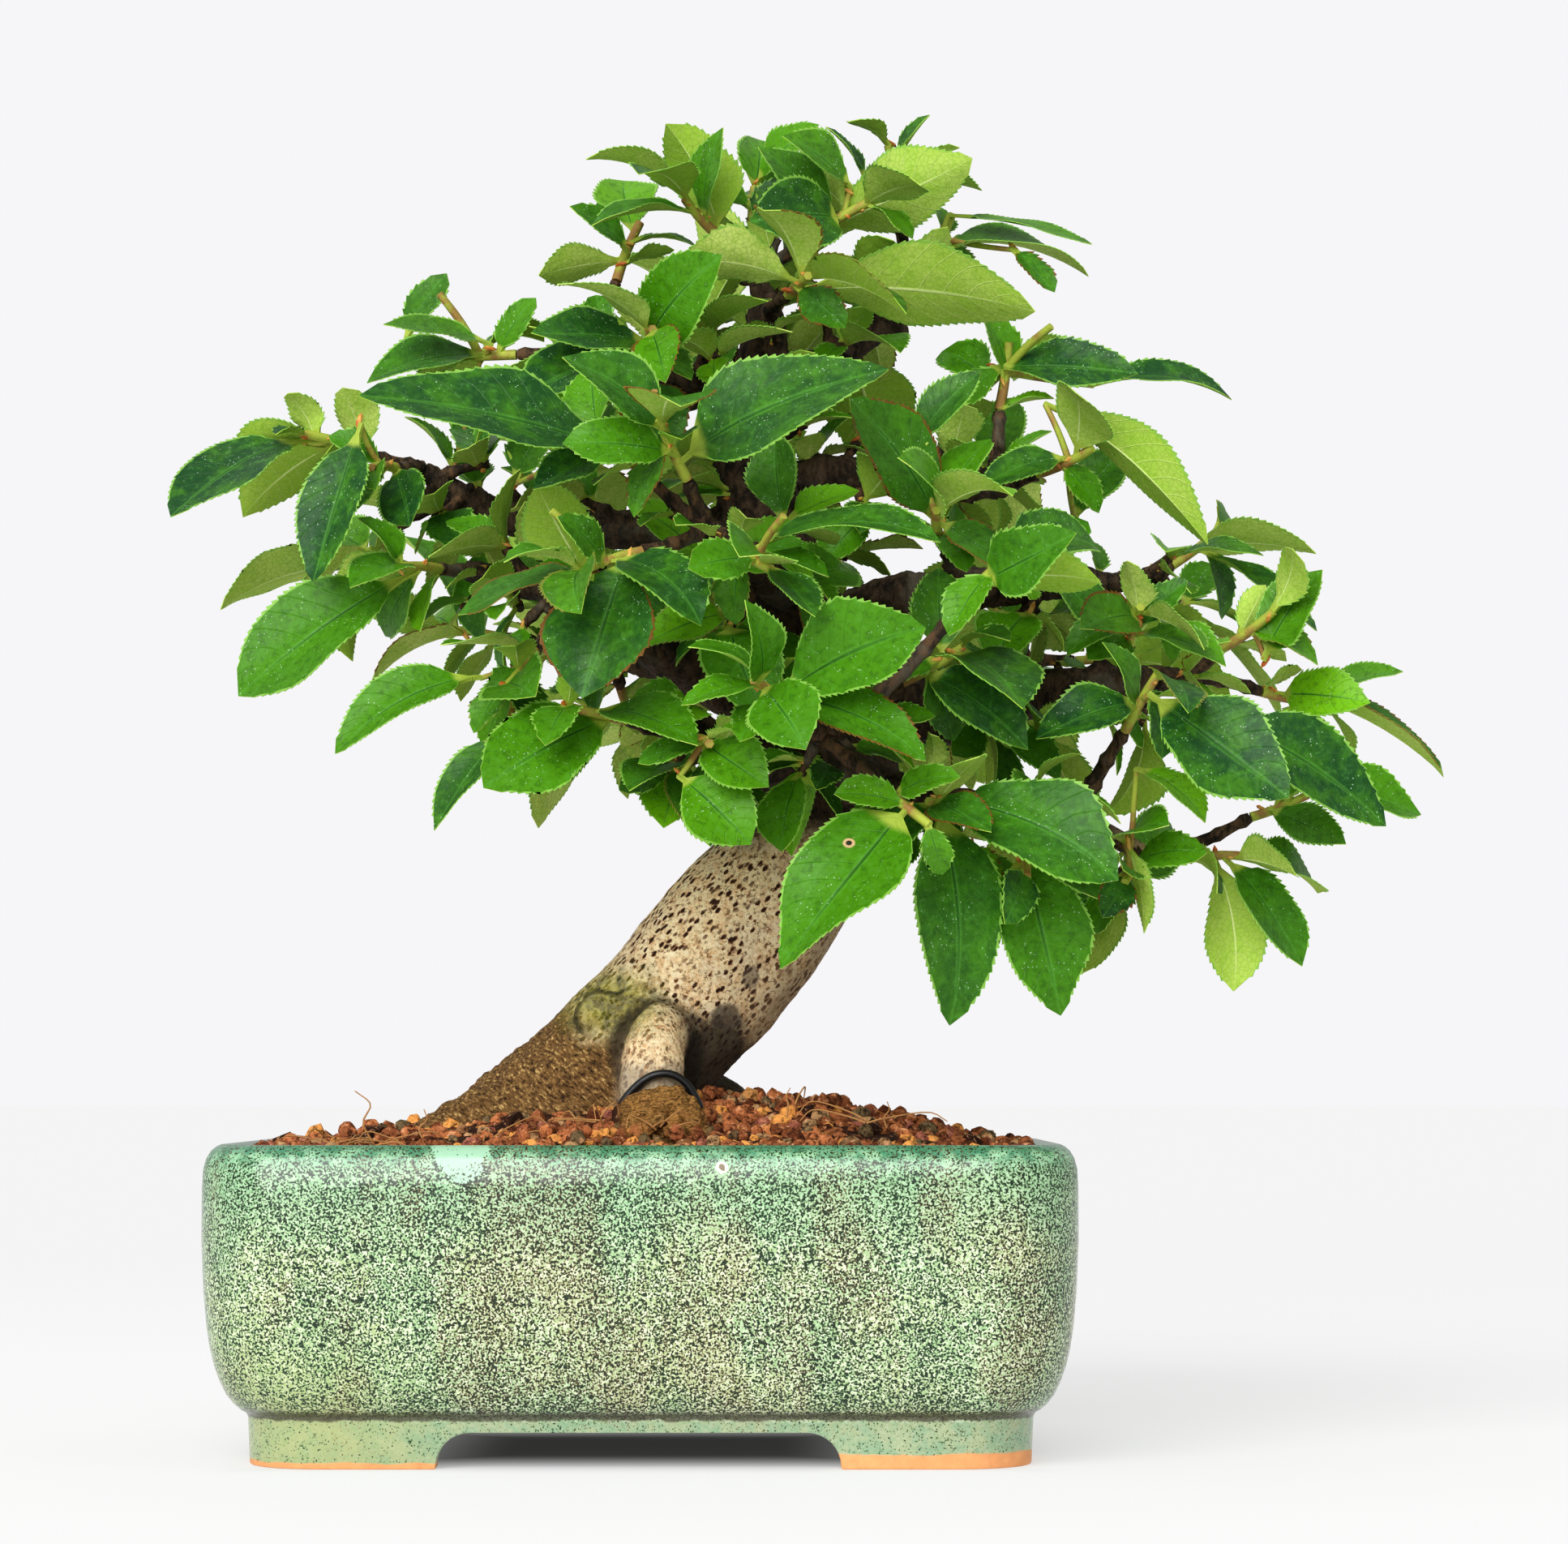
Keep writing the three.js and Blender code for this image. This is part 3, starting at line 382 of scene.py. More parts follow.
def makeGlaze():
    skin = Skin("celadonGlaze", Roughness=0.34, Coat_Weight=0.12, Coat_Roughness=0.15)
    place = skin.place
    x, y, z = place.split()
    front = y.rise(-50, -56)
    clouds = place.noise(0.045, 4, 0.6, 0.6)
    ragged = place.noise(0.3, 4, 0.65)
    brown = place.stretched((1, 1, 0.3), shift=(31, 7, 0)).noise(0.05, 5, 0.65, 0.4)
    streaks = place.stretched((1, 1, 0.14)).noise(0.07, 4, 0.6, 0.3)
    colour = clouds.rise(0.38, 0.62).mix(glaze["celadon"], glaze["yellowish"])
    colour = place.noise(1.4).rise(0.44, 0.6, 0, 0.7).mix(colour, glaze["fleck"])
    colour = brown.rise(0.5, 0.66, 0, 0.25).mix(colour, glaze["brownish"])
    # teal at the corners, greener towards the rim, and darker on the feet
    corner = abs(x) * (1 / pot["length"]) + abs(y) * (1 / pot["length"])
    corner = corner.rise(0.785, 0.83) * z.rise(14, 34)
    colour = (corner * 0.8).mix(colour, glaze["corner"])
    colour = (z.rise(36, 56) * 0.6).mix(colour, glaze["upper"])
    foot = ragged.rise(0.36, 0.64).mix(glaze["foot"], glaze["footLight"])
    colour = z.rise(9.6, 8.4, 0, 0.85).mix(colour, foot)
    # the thick green glaze under the rim
    rimBand = (z + ragged * 4).rise(56.2, 60.4)
    green = ragged.rise(0.38, 0.62).mix(glaze["rim"], glaze["rimLight"])
    green = z.rise(58.2, 59.6, 0, 0.65).mix(green, glaze["lip"])
    colour = rimBand.mix(colour, green)
    # a smooth pale run with a dark lower edge left of the middle
    run = farFrom(x, z, *glaze["runSpot"]) + ragged * 1.2
    inRun = run.rise(1.66, 1.54) * front
    runEdge = run.rise(1.82, 1.66) * front * z.rise(57.6, 56.2)
    colour = inRun.mix(colour, glaze["run"])
    # an olive tint to the lower left, made darker as painted shade towards the bottom and the left edge
    oliveAndShade = z.rise(34, 12) * x.rise(-28, -60)
    colour = (oliveAndShade * 0.45).mix(colour, glaze["oliveAndShade"])
    # speckles, fine and close, fewer on the rim and on the feet
    speckled = place.noise(2.4, 1.5, 0.6)
    for pattern, weight in ((clouds, -0.06), (ragged, -0.1), (streaks, 0.12)):
        speckled += (pattern - 0.5) * weight
    speckled += runEdge * 0.09 - inRun * 0.2
    # more speckles low on the body just above the feet: painted shade
    speckled += z.rise(18, 11, 0, 0.018)
    calm = (rimBand * 0.045).maths("MAXIMUM", z.rise(10.4, 8.6, 0, 0.15))
    speckled -= calm.maths("MAXIMUM", oliveAndShade * 0.02)
    speck = brown.rise(0.44, 0.6).mix(glaze["greenSpeck"], glaze["brownSpeck"])
    colour = speckled.rise(0.46, 0.52).mix(colour, speck)
    colour = speckled.rise(0.525, 0.565).mix(colour, glaze["darkSpeck"])
    large = place.stretched(shift=(3, 5, 9)).cells(0.95) + ragged * 0.5
    colour = large.rise(0.42, 0.35, 0, 0.85).mix(colour, glaze["largeSpeck"])
    # painted shade: a dark line in the groove over the feet
    line = z + (ragged - 0.5) * 1.6
    grooveShade = line.rise(8.7, 9.3) * line.rise(11.2, 10)
    colour = (grooveShade * 0.85).mix(colour, glaze["grooveShade"])
    # a small blemish with a brown mark
    mark = farFrom(x, z, *glaze["blemishSpot"]) + place.noise(0.55, 3, 0.6) * 1.1
    colour = (mark.rise(1.5, 1.35) * front).mix(colour, glaze["blemish"])
    colour = (mark.rise(1, 0.85) * front).mix(colour, glaze["brownMark"])
    # a dark grey underside as painted shade, and bare clay where the feet stand
    down = skin.given("NewGeometry", "Normal").split()[2].rise(-0.9, -0.98)
    colour = (down * z.rise(4, 6)).mix(colour, glaze["underside"])
    bare = (z + (place.noise(0.12) * 1.6 + x.rise(0, 20, 0, -1.5))).rise(2.3, 1.8)
    colour = bare.mix(colour, place.noise(0.5, 4).mix(glaze["clay"], glaze["clayLight"]))
    skin.set(Roughness=bare.rise(0, 1, 0.2, 0.8))
    return skin.finish(colour, place.noise(0.3), 0.3, 0.5)


# The soil

soil = {
    "rimLevel": 58.2, "heap": 11, "heapAt": (8, 0), "heapSpread": (60, 34),
    "lump": 4.5, "lumpAt": (4, -33), "lumpSpread": 7, "wall": 7.4, "gap": 0.8,
    "pitch": 2.55, "rowPitch": 0.9, "jitter": 0.5, "grainRadius": (1.45, 2.3), "larger": 1.18,
    "flatness": 0.9, "corner": 9, "cornerRound": 8.6, "sunk": (-1.5, -0.1), "raised": (0.6, 2.0), "seed": 11,
    "masters": 6, "facets": 7, "grainSize": (0.72, 1.18), "facetDepth": (0.62, 0.85),
}


def soilHeight(x, y):
    heapX, heapY = soil["heapAt"]
    spreadX, spreadY = soil["heapSpread"]
    heap = soil["heap"] * np.exp(-((x - heapX) / spreadX) ** 2 - ((y - heapY) / spreadY) ** 2)
    lumpX, lumpY = soil["lumpAt"]
    lump = soil["lump"] * np.exp(-((x - lumpX) ** 2 + (y - lumpY) ** 2) / soil["lumpSpread"] ** 2)
    edge = np.maximum(abs(x) / (pot["length"] / 2 - soil["wall"]), abs(y) / (pot["depth"] / 2 - soil["wall"]))
    return soil["rimLevel"] + (heap + lump) * (1 - np.minimum(edge, 1) ** 5)


def makeGrainMaster(rng, detail):
    deselectAll()
    bpy.ops.mesh.primitive_ico_sphere_add(subdivisions=detail, radius=1)
    grain = bpy.context.object
    setMode("EDIT")
    bpy.ops.mesh.select_all(action="SELECT")
    bpy.ops.transform.resize(value=tuple(rng.uniform(*soil["grainSize"], 3)))
    for _ in range(soil["facets"]):
        way = Vector(rng.normal(size=3)).normalized()
        bpy.ops.mesh.select_all(action="SELECT")
        bpy.ops.mesh.bisect(plane_co=way * rng.uniform(*soil["facetDepth"]), plane_no=way, clear_outer=True,
                            use_fill=True)
    bpy.ops.mesh.select_all(action="SELECT")
    bpy.ops.mesh.remove_doubles(threshold=0.12)
    bpy.ops.mesh.normals_make_consistent(inside=False)
    setMode("OBJECT")
    grain.data.color_attributes.new("tone", "FLOAT_COLOR", "POINT")
    return grain


def makeGrains():
    rng = np.random.default_rng(soil["seed"])
    masters = [makeGrainMaster(rng, 1 if number % 3 else 2) for number in range(soil["masters"])]
    halfLength = pot["length"] / 2 - soil["wall"] - soil["gap"]
    halfDepth = pot["depth"] / 2 - soil["wall"] - soil["gap"]
    pitch = soil["pitch"]
    placed = [[] for _ in masters]
    for row, y in enumerate(np.arange(-halfDepth, halfDepth, pitch * soil["rowPitch"])):
        for x in np.arange(-halfLength + pitch / 2 * (row % 2), halfLength, pitch):
            radius = rng.uniform(*soil["grainRadius"]) * (soil["larger"] if rng.random() < 0.2 else 1)
            gx, gy = [np.clip(at + rng.normal() * soil["jitter"], -half + radius / 2, half - radius / 2)
                      for at, half in ((x, halfLength), (y, halfDepth))]
            beyond = [max(abs(at) - (half - soil["corner"]), 0)
                      for at, half in ((gx, halfLength), (gy, halfDepth))]
            if math.hypot(*beyond) > soil["cornerRound"]:
                continue
            level = (soilHeight(gx, gy) + rng.uniform(*soil["sunk"])
                     + (rng.random() < 0.14) * rng.uniform(*soil["raised"]))
            turn = Matrix.Rotation(rng.uniform(0, 6.28), 4, Vector(rng.normal(size=3)).normalized())
            size = Matrix.Diagonal((radius * mm, radius * mm, radius * soil["flatness"] * mm, 1))
            kind = rng.integers(len(masters))
            place = Matrix.Translation(Vector(toFrame([gx, gy, level]))) @ turn @ size
            placed[kind].append((place, rng.random(3)))
    parts = []
    for master, grains in zip(masters, placed):
        copies = [copyOf(master, tone) for _, tone in grains]
        for copy, (place, _) in zip(copies, grains):
            copy.data.transform(place)
        parts.append(joinPieces(copies, "grains"))
        bpy.data.objects.remove(master)
    return joinPieces(parts, "soil_granules")


soilColours = {
    "brown": (0.14, 0.04, 0.016), "red": (0.66, 0.24, 0.095), "orange": (0.98, 0.44, 0.12),
    "grey": (0.2, 0.14, 0.07), "plum": (0.42, 0.15, 0.1), "tan": (0.56, 0.33, 0.16),
    "damp": (0.025, 0.011, 0.007), "dampLight": (0.08, 0.03, 0.017), "pit": (0.022, 0.008, 0.005),
    "dust": (1.0, 0.55, 0.3), "peat": (0.05, 0.022, 0.008), "fibre": (0.5, 0.27, 0.08),
}


def makeSoilMaterial(name, loose):
    skin = Skin(name, Roughness=0.95, Specular_IOR_Level=0.2)
    place = skin.place
    if loose:
        red, green, blue = skin.tone()
        colour = red.mix(soilColours["brown"], soilColours["red"])
        colour = green.rise(0.82, 0.88).mix(colour, soilColours["orange"])
        colour = green.rise(0.12, 0.08).mix(colour, soilColours["grey"])
        colour = blue.rise(0.91, 0.95).mix(colour, soilColours["plum"])
        colour = blue.rise(0.1, 0.06).mix(colour, soilColours["tan"])
    else:
        # dark damp soil; under the granules it is also painted shade in the gaps between them
        colour = place.noise(0.3).mix(soilColours["damp"], soilColours["dampLight"])
    patches = place.noise(0.75, 5, 0.7, 0.4)
    colour = patches.rise(0.52, 0.36, 0, 0.9).mix(colour, soilColours["pit"])
    colour = patches.rise(0.55, 0.68, 0, 0.75).mix(colour, soilColours["dust"])
    # darker fibrous peat on the lump before the root
    x, y, _ = place.split()
    fibre = place.stretched((1, 1, 2.5), turn=(0, 0.5, 0.4)).noise(0.9, 4, 0.7, 1.5)
    peat = fibre.rise(0.35, 0.62).mix(soilColours["peat"], soilColours["fibre"])
    colour = farFrom(x, y, soil["lumpAt"], (9, 8)).rise(1.1, 0.75, 0, 0.85).mix(colour, peat)
    return skin.finish(colour, place.noise(1.6, 5, 0.75), 0.9, 0.5)


# the lump before the standing root
compost = {"at": (3.4, -30.2, 61.5), "size": (9.6, 5.4, 9.4), "rough": 1.6}


def makeCompost():
    deselectAll()
    bpy.ops.mesh.primitive_ico_sphere_add(subdivisions=5, radius=mm, location=toFrame(compost["at"]))
    lump = named(bpy.context.object, "root_compost")
    lump.scale = compost["size"]
    settlePlace(lump)
    makeDisplace(lump, 4.5, 2 * compost["rough"])
    makeDisplace(lump, 1.2, compost["rough"])
    smoothByAngle(lump, 40)
    return lump


debris = {  # dead rootlets lying on the soil: where they start and how many, and some that stand up
    "starts": [((-58, -45, 59.5), 6), ((-47, -45, 60), 5), ((-9, -41, 64), 6), ((4, -42, 63), 4),
               ((27, -39, 67), 1), ((44, -43, 64), 3), ((-28, -36, 61), 3)],
    "radius": 0.17, "length": (5, 12), "scatter": [2.5, 1.2, 0.4], "seed": 3,
    "upright": [[(-50, -45, 60), (-52, -46, 64), (-50.6, -46, 67.5), (-53.6, -45.5, 70)],
                [(-40.5, -46, 60.5), (-41.5, -46, 63), (-40, -46, 64.6), (-40.6, -46, 66.6)],
                [(27.5, -38, 65), (27.8, -38, 67.5), (27.4, -38, 69), (28.2, -38, 70.6)],
                [(46.5, -36, 63), (46, -36, 65), (47, -36, 66.4), (46.6, -36, 68)]],
}


def makeDebris():
    rng = np.random.default_rng(debris["seed"])
    lines = []
    for start, count in debris["starts"]:
        for _ in range(count):
            length = rng.uniform(*debris["length"])
            turn = rng.uniform(0, 2 * math.pi)
            way = np.array([math.cos(turn), 0.4 * math.sin(turn), rng.uniform(0.05, 0.6)])
            side = np.array([-way[1], way[0], rng.uniform(-0.2, 0.1)]) * rng.uniform(-0.5, 0.5)
            root = np.array(start) + rng.normal(size=3) * debris["scatter"]
            lines.append([root, root + (way * 0.5 + side * 0.5) * length * 0.7,
                          root + (way * [1, 1, 0.7] + side) * length,
                          root + (way * [1.3, 1.3, 0.1] + side * 0.4) * length])
    radii = [debris["radius"] * (1.3 - 0.07 * step) for step in range(11)]
    limbs = [makeLimb([pointAlong(line, step / 10) for step in range(11)], radii, 1)
             for line in lines + debris["upright"]]
    return joinPieces(limbs, "dead_rootlets")


# The wood

trunk = {
    "points": [(-34, 2, 44), (-12, 1, 66), (3, 0, 84), (16, 0, 101), (29, 0, 117), (37, 1, 131), (38, 3, 146),
               (32, 4, 161), (25, 3, 177), (21, 1, 192), (22, 0, 206), (23, -2, 218), (23, -2, 227),
               (21, -1, 234)],
    "radii": [21, 18.4, 15.8, 14.8, 13.4, 12.4, 11.2, 9.8, 8.6, 7.4, 6.2, 5, 3.4, 1.6],
}
crownFrom = 5  # the trunk's point from which it carries leaves
rootStub = {"points": [(8, -6, 84), (3, -15, 81), (1, -20, 72), (1, -21, 55)], "radii": [6, 6.2, 6, 7]}
roots = [
    {"points": [(-16, -4, 63), (-36, -10, 62), (-52, -16, 52)], "radii": [11, 7, 3]},
    {"points": [(-10, 6, 65), (-20, 26, 61), (-32, 40, 51)], "radii": [11, 7, 3]},
    {"points": [(0, 4, 70), (17, 17, 64), (33, 25, 53)], "radii": [11, 6, 3]},
]
branches = [{"radii": [thick, thin], "points": points} for thick, thin, points in (
    (7.5, 2.2, [(33, 1, 148), (16, -10, 150), (0, -14, 160), (-12, -15, 167), (-25, -10, 170),
                (-36, -6, 173)]),
    (5.2, 2, [(25, 2, 178), (8, 5, 183), (-10, 9, 183), (-26, 10, 185), (-38, 7, 190), (-46, 4, 195)]),
    (5, 2, [(33, -4, 139), (20, -26, 138), (8, -38, 138)]),
    (8.5, 2.2, [(37, 2, 142), (49, -3, 145), (63, -5, 145), (79, -5, 149), (92, -9, 150), (106, -2, 152)]),
    (5.2, 1.8, [(34, -5, 133), (44, -26, 129), (57, -34, 125), (72, -34, 123), (86, -28, 121),
                (98, -20, 115)]),
    (5.6, 1.9, [(33, 3, 160), (45, -8, 166), (59, -14, 168), (77, -10, 170), (92, -2, 171), (101, 3, 172)]),
    (4.6, 2, [(22, 1, 191), (37, 0, 193), (55, -3, 191), (70, -5, 189)]),
    (3.6, 1.6, [(23, -1, 212), (36, 4, 217), (47, 8, 224), (53, 11, 231)]),
    (4, 1.7, [(22, 0, 207), (11, -5, 210), (-2, -8, 213), (-16, -5, 217)]),
    (4.6, 1.8, [(29, 1, 169), (23, -26, 170), (17, -42, 172), (13, -50, 176)]),
    (4.6, 1.8, [(36, -3, 143), (32, -30, 141), (34, -50, 136)]),
    (6.5, 2, [(34, 8, 152), (12, 28, 157), (-8, 42, 161), (-24, 46, 164)]),
    (6.5, 2, [(38, 8, 148), (50, 28, 152), (64, 40, 157), (78, 44, 160)]),
    (4.6, 1.8, [(24, 4, 182), (24, 24, 186), (24, 42, 189), (23, 54, 191)]),
    (3.6, 1.6, [(22, 0, 210), (22, 15, 216), (19, 27, 220)]),
)]
wood = {
    "voxel": 0.9, "seed": 5, "spurs": 80, "spurLength": (4, 9), "spurRadius": (1.2, 2.0), "knots": 0.09,
    # swellings of the trunk: middle and half sizes
    "bosses": [((-9.5, -12.5, 85), (4.6, 2.4, 4.6)), ((38, -6, 136), (8, 8, 10)), ((25, -4, 172), (7, 6, 7)),
               ((-30, -12, 58), (12, 9, 8)), ((30, -9, 121), (7, 7, 9))],
    # a fourth root, and fuller wood under the lean and on the standing root
    "more": [{"points": [(-22, 12, 66), (-40, 20, 61), (-54, 26, 55)], "radii": [5.5, 3.4, 1.5]},
             {"points": [(2, 0, 76), (15.8, 0, 90.6), (24.5, 0, 100.3), (36, 0, 117)],
              "radii": [12, 11.6, 11, 9.5]},
             {"points": [(5, -11, 85), (2.6, -18, 82), (1.6, -22, 74), (1.6, -22.5, 58)],
              "radii": [3.6, 4.8, 6.4, 7.4]}],
    "lumps": [(12, 1.7, ""), (3.4, 1.7, "rough"), (1.4, 1.1, "rough")],  # their size, height and where
}


def pointAlong(points, share):  # smooth curve through a limb's points
    points = np.asarray(points, float)
    last = len(points) - 1
    place = last * share
    number = min(int(place), last - 1)
    part = place - number
    a, b = points[number], points[number + 1]
    before = points[number - 1] if number > 0 else 2 * a - b
    after = points[number + 2] if number + 2 <= last else 2 * b - a
    leave, arrive = 0.5 * (b - before), 0.5 * (after - a)
    return (a + leave * part + (-3 * a + 3 * b - 2 * leave - arrive) * part ** 2
            + (2 * a - 2 * b + leave + arrive) * part ** 3)


def radiusAt(radii, share):
    place = min(share, 1) * (len(radii) - 1)
    before = min(int(place), len(radii) - 2)
    return between(radii[before:before + 2], place - before)


def makeLimb(line, radii, resolution=4):  # a round tube along a line of points, with a radius at each
    curve = bpy.data.curves.new("limb", "CURVE")
    curve.dimensions = "3D"
    curve.bevel_depth = mm
    curve.bevel_resolution = resolution
    curve.use_fill_caps = True
    spline = curve.splines.new("POLY")
    spline.points.add(len(line) - 1)
    for point, place, radius in zip(spline.points, toFrame(line), radii):
        point.co = (*place, 1)
        point.radius = radius
    makeActive(addObject("limb", curve))
    bpy.ops.object.convert(target="MESH")
    return bpy.context.object


def smoothLimb(limb, steps, resolution=4, rng=None):  # knotty if it gets random numbers
    shares = [step / steps for step in range(steps + 1)]
    line = [pointAlong(limb["points"], share) for share in shares]
    radii = [radiusAt(limb["radii"], share) for share in shares]
    if rng:
        radii = [radius * (1 + wood["knots"] * max(0, rng.normal())) for radius in radii]
    return makeLimb(line, radii, resolution)


def makeDeadSpur(number, rng):  # a short dead stub or knuckle on the older wood
    limb = branches[number % len(branches)] if number % 4 else trunk
    share = rng.uniform(0.58, 0.92) if limb is trunk else rng.uniform(0.2, 0.9)
    start = pointAlong(limb["points"], share)
    way = unit(rng.normal(size=3) + [0, -0.2, 0.5])
    reach = radiusAt(limb["radii"], share) * 0.8 + rng.uniform(*wood["spurLength"]) * 0.5
    thick = rng.uniform(*wood["spurRadius"])
    line = [start, start + way * reach * 0.6, start + way * reach]
    return makeLimb(line, [thick * 1.3, thick, thick * 0.8], 2)


def makeTrunk():
    rng = np.random.default_rng(wood["seed"])
    limbs = [smoothLimb(trunk, 70, 8), smoothLimb(rootStub, 14, 5)]
    limbs += [smoothLimb(root, 16, 5) for root in roots + wood["more"]]
    limbs += [smoothLimb(branch, 26, 4, rng) for branch in branches]
    limbs += [makeDeadSpur(number, rng) for number in range(wood["spurs"])]
    for middle, size in wood["bosses"]:
        deselectAll()
        bpy.ops.mesh.primitive_uv_sphere_add(segments=20, ring_count=12, radius=mm, location=toFrame(middle))
        bpy.context.object.scale = size
        limbs.append(settlePlace(bpy.context.object))
    tree = joinPieces(limbs, "tree_wood")
    addModifier(tree, "REMESH", mode="VOXEL", voxel_size=wood["voxel"] * mm)
    addModifier(tree, "SMOOTH", factor=0.5, iterations=2)
    # rough at the foot and in the crown, smooth between
    rough = tree.vertex_groups.new(name="rough")
    x, _, z = ((placesOf(tree) - potMiddle) / mm).T
    base = np.clip((92 - z - 0.5 * x) / 30, 0, 1)
    upper = np.clip((z - 118) / 22, 0, 1) * 0.75
    for number, weight in enumerate(np.maximum(base, upper)):
        rough.add([number], max(float(weight), 0.12), "REPLACE")
    for lump in wood["lumps"]:
        makeDisplace(tree, *lump)
    smoothByAngle(tree, 60)
    return tree


bark = {
    "dark": (0.014, 0.009, 0.006), "darkRidge": (0.11, 0.07, 0.042), "greyed": (0.17, 0.15, 0.115),
    "twig": (0.2, 0.1, 0.045), "pale": (0.86, 0.58, 0.31), "palest": (1.0, 0.82, 0.52),
    "greyPatch": (0.72, 0.6, 0.44), "stain": (0.2, 0.11, 0.05), "fleck": (1.0, 0.9, 0.66),
    "dashEdge": (0.3, 0.12, 0.045), "dash": (0.035, 0.014, 0.008), "rust": (0.6, 0.26, 0.09),
    "worn": (0.3, 0.27, 0.22), "under": (0.26, 0.17, 0.1), "crust": (0.03, 0.014, 0.005),
    "flake": (0.24, 0.13, 0.045), "straw": (0.78, 0.55, 0.22), "algae": (0.09, 0.1, 0.02),
    "algaeLight": (0.4, 0.38, 0.06), "outline": (0.035, 0.03, 0.012), "fold": (0.035, 0.024, 0.012),
    "hollow": (0.03, 0.022, 0.016), "scar": (0.11, 0.085, 0.065), "highScar": (0.16, 0.12, 0.09),
    "lean": 42,  # degrees
}
barkSpots = {  # middle and half size on the front, and how ragged the edge is
    "damp": ((-7, 87), (13, 9), 1.3), "eye": ((-8.6, 84.6), (5.2, 5), 0.7),
    "fold": ((2.2, 77.5), (7.6, 8.6), 0.3), "hollow": ((13, 75), (8.8, 10.5), 0.9),
    "scar": ((15.6, 84.4), (3, 2.8), 1.2), "highScar": ((20.6, 92), (1.7, 2.4), 1.1),
}


def makeBark(name, twigs=False):
    skin = Skin(name, Roughness=0.82, Specular_IOR_Level=0.3)
    place = skin.place
    grain = place.stretched((1, 1, 0.5)).noise(0.5, 6, 0.7, 0.5)
    broad = place.noise(0.06, 4, 0.6, 0.7)
    dark = grain.rise(0.35, 0.65).mix(bark["dark"], bark["darkRidge"])
    dark = broad.rise(0.54, 0.7, 0, 0.7).mix(dark, bark["greyed"])
    if twigs:
        return skin.finish(grain.rise(0.45, 0.75, 0, 0.8).mix(dark, bark["twig"]), grain, 0.9, 0.8)
    x, y, z = place.split()
    alongTrunk = place.stretched(turn=(0, math.radians(-bark["lean"]), 0))
    fine = place.noise(1.3, 4, 0.75)
    pale = grain.rise(0.36, 0.6).mix(bark["pale"], bark["palest"])
    pale = broad.rise(0.5, 0.68, 0, 0.45).mix(pale, bark["greyPatch"])
    pale = fine.rise(0.48, 0.37, 0, 0.9).mix(pale, bark["stain"])
    pale = fine.rise(0.54, 0.63, 0, 0.8).mix(pale, bark["fleck"])
    # lenticels: short dark dashes in rows along the trunk, fewer on the smoother standing root
    standing = y.rise(-14.5, -17.5) * abs(x - 2).rise(9, 7.5) * z.rise(86, 84)
    dash = alongTrunk.stretched((1, 1, 0.6)).cells(0.85) + fine * 0.5
    patch = alongTrunk.stretched((1, 1, 0.4)).noise(0.22)
    often = patch.rise(0.38, 0.5, 0.3) - standing * 0.5
    dashes = dash.rise(0.58, 0.5) * often
    pale = (dash.rise(0.7, 0.57) * often).mix(pale, bark["dashEdge"])
    pale = dashes.mix(pale, bark["dash"])
    # the standing root is rusty in streaks, and worn grey towards its foot
    pale = (grain.rise(0.52, 0.64) * (standing * 0.7)).mix(pale, bark["rust"])
    pale = ((z + grain * 9).rise(81.5, 77.5) * (standing * 0.6)).mix(pale, bark["worn"])
    # painted shade: the under side of the leaning trunk is darker
    under = x + broad * 14 - z * 0.78
    pale = under.rise(-45, -34, 0, 0.55).mix(pale, bark["under"])
    # the rough brown foot of the trunk, and the algae where it stays damp
    scales = alongTrunk.stretched((0.6, 1, 1.6)).noise(1.1, 5, 0.75, 0.3)
    rough = scales.rise(0.36, 0.54).mix(bark["crust"], bark["flake"])
    rough = scales.rise(0.55, 0.66).mix(rough, bark["straw"])
    edge = z + x * 0.75 + broad * 24
    colour = (edge.rise(92, 82) * x.rise(-3, -7)).mix(pale, rough)
    mossy = place.noise(0.28, 5, 0.75, 0.5)
    spots = {name: farFrom(x, z, middle, size) + mossy * ragged
             for name, (middle, size, ragged) in barkSpots.items()}
    algae = mossy.rise(0.4, 0.6).mix(bark["algae"], bark["algaeLight"])
    colour = spots["damp"].rise(1.8, 1, 0, 0.8).mix(colour, algae)
    # a mossy eye with part of a dark outline, painted shade in the fold round the standing root and in the
    # hollow beside it, and two scars
    front = y.rise(-4, -9)
    behind = y.rise(-20, -16)
    ring = spots["eye"].rise(1.5, 1.38) * spots["eye"].rise(1.14, 1.3) * (z - x).rise(91, 95)
    colour = (ring * front * 0.7).mix(colour, bark["outline"])
    colour = (spots["fold"].rise(1.6, 1.2) * behind * front * 0.9).mix(colour, bark["fold"])
    colour = (spots["hollow"].rise(1.7, 1.1) * behind * 0.9).mix(colour, bark["hollow"])
    colour = spots["scar"].rise(1.75, 1.35, 0, 0.75).mix(colour, bark["scar"])
    colour = spots["highScar"].rise(1.7, 1.35, 0, 0.6).mix(colour, bark["highScar"])
    # darker above z 121: darker old bark, and painted shade under the crown
    colour = (z + broad * 14).rise(121, 131).mix(colour, dark)
    return skin.finish(colour, place.noise(0.75, 6, 0.75, 0.6) + dashes * -0.35, 0.9, 0.8)


twig = {"step": 1.4, "bend": 0.05, "mostBend": 1.6, "knot": 0.32, "uneven": (-0.05, 0.08)}


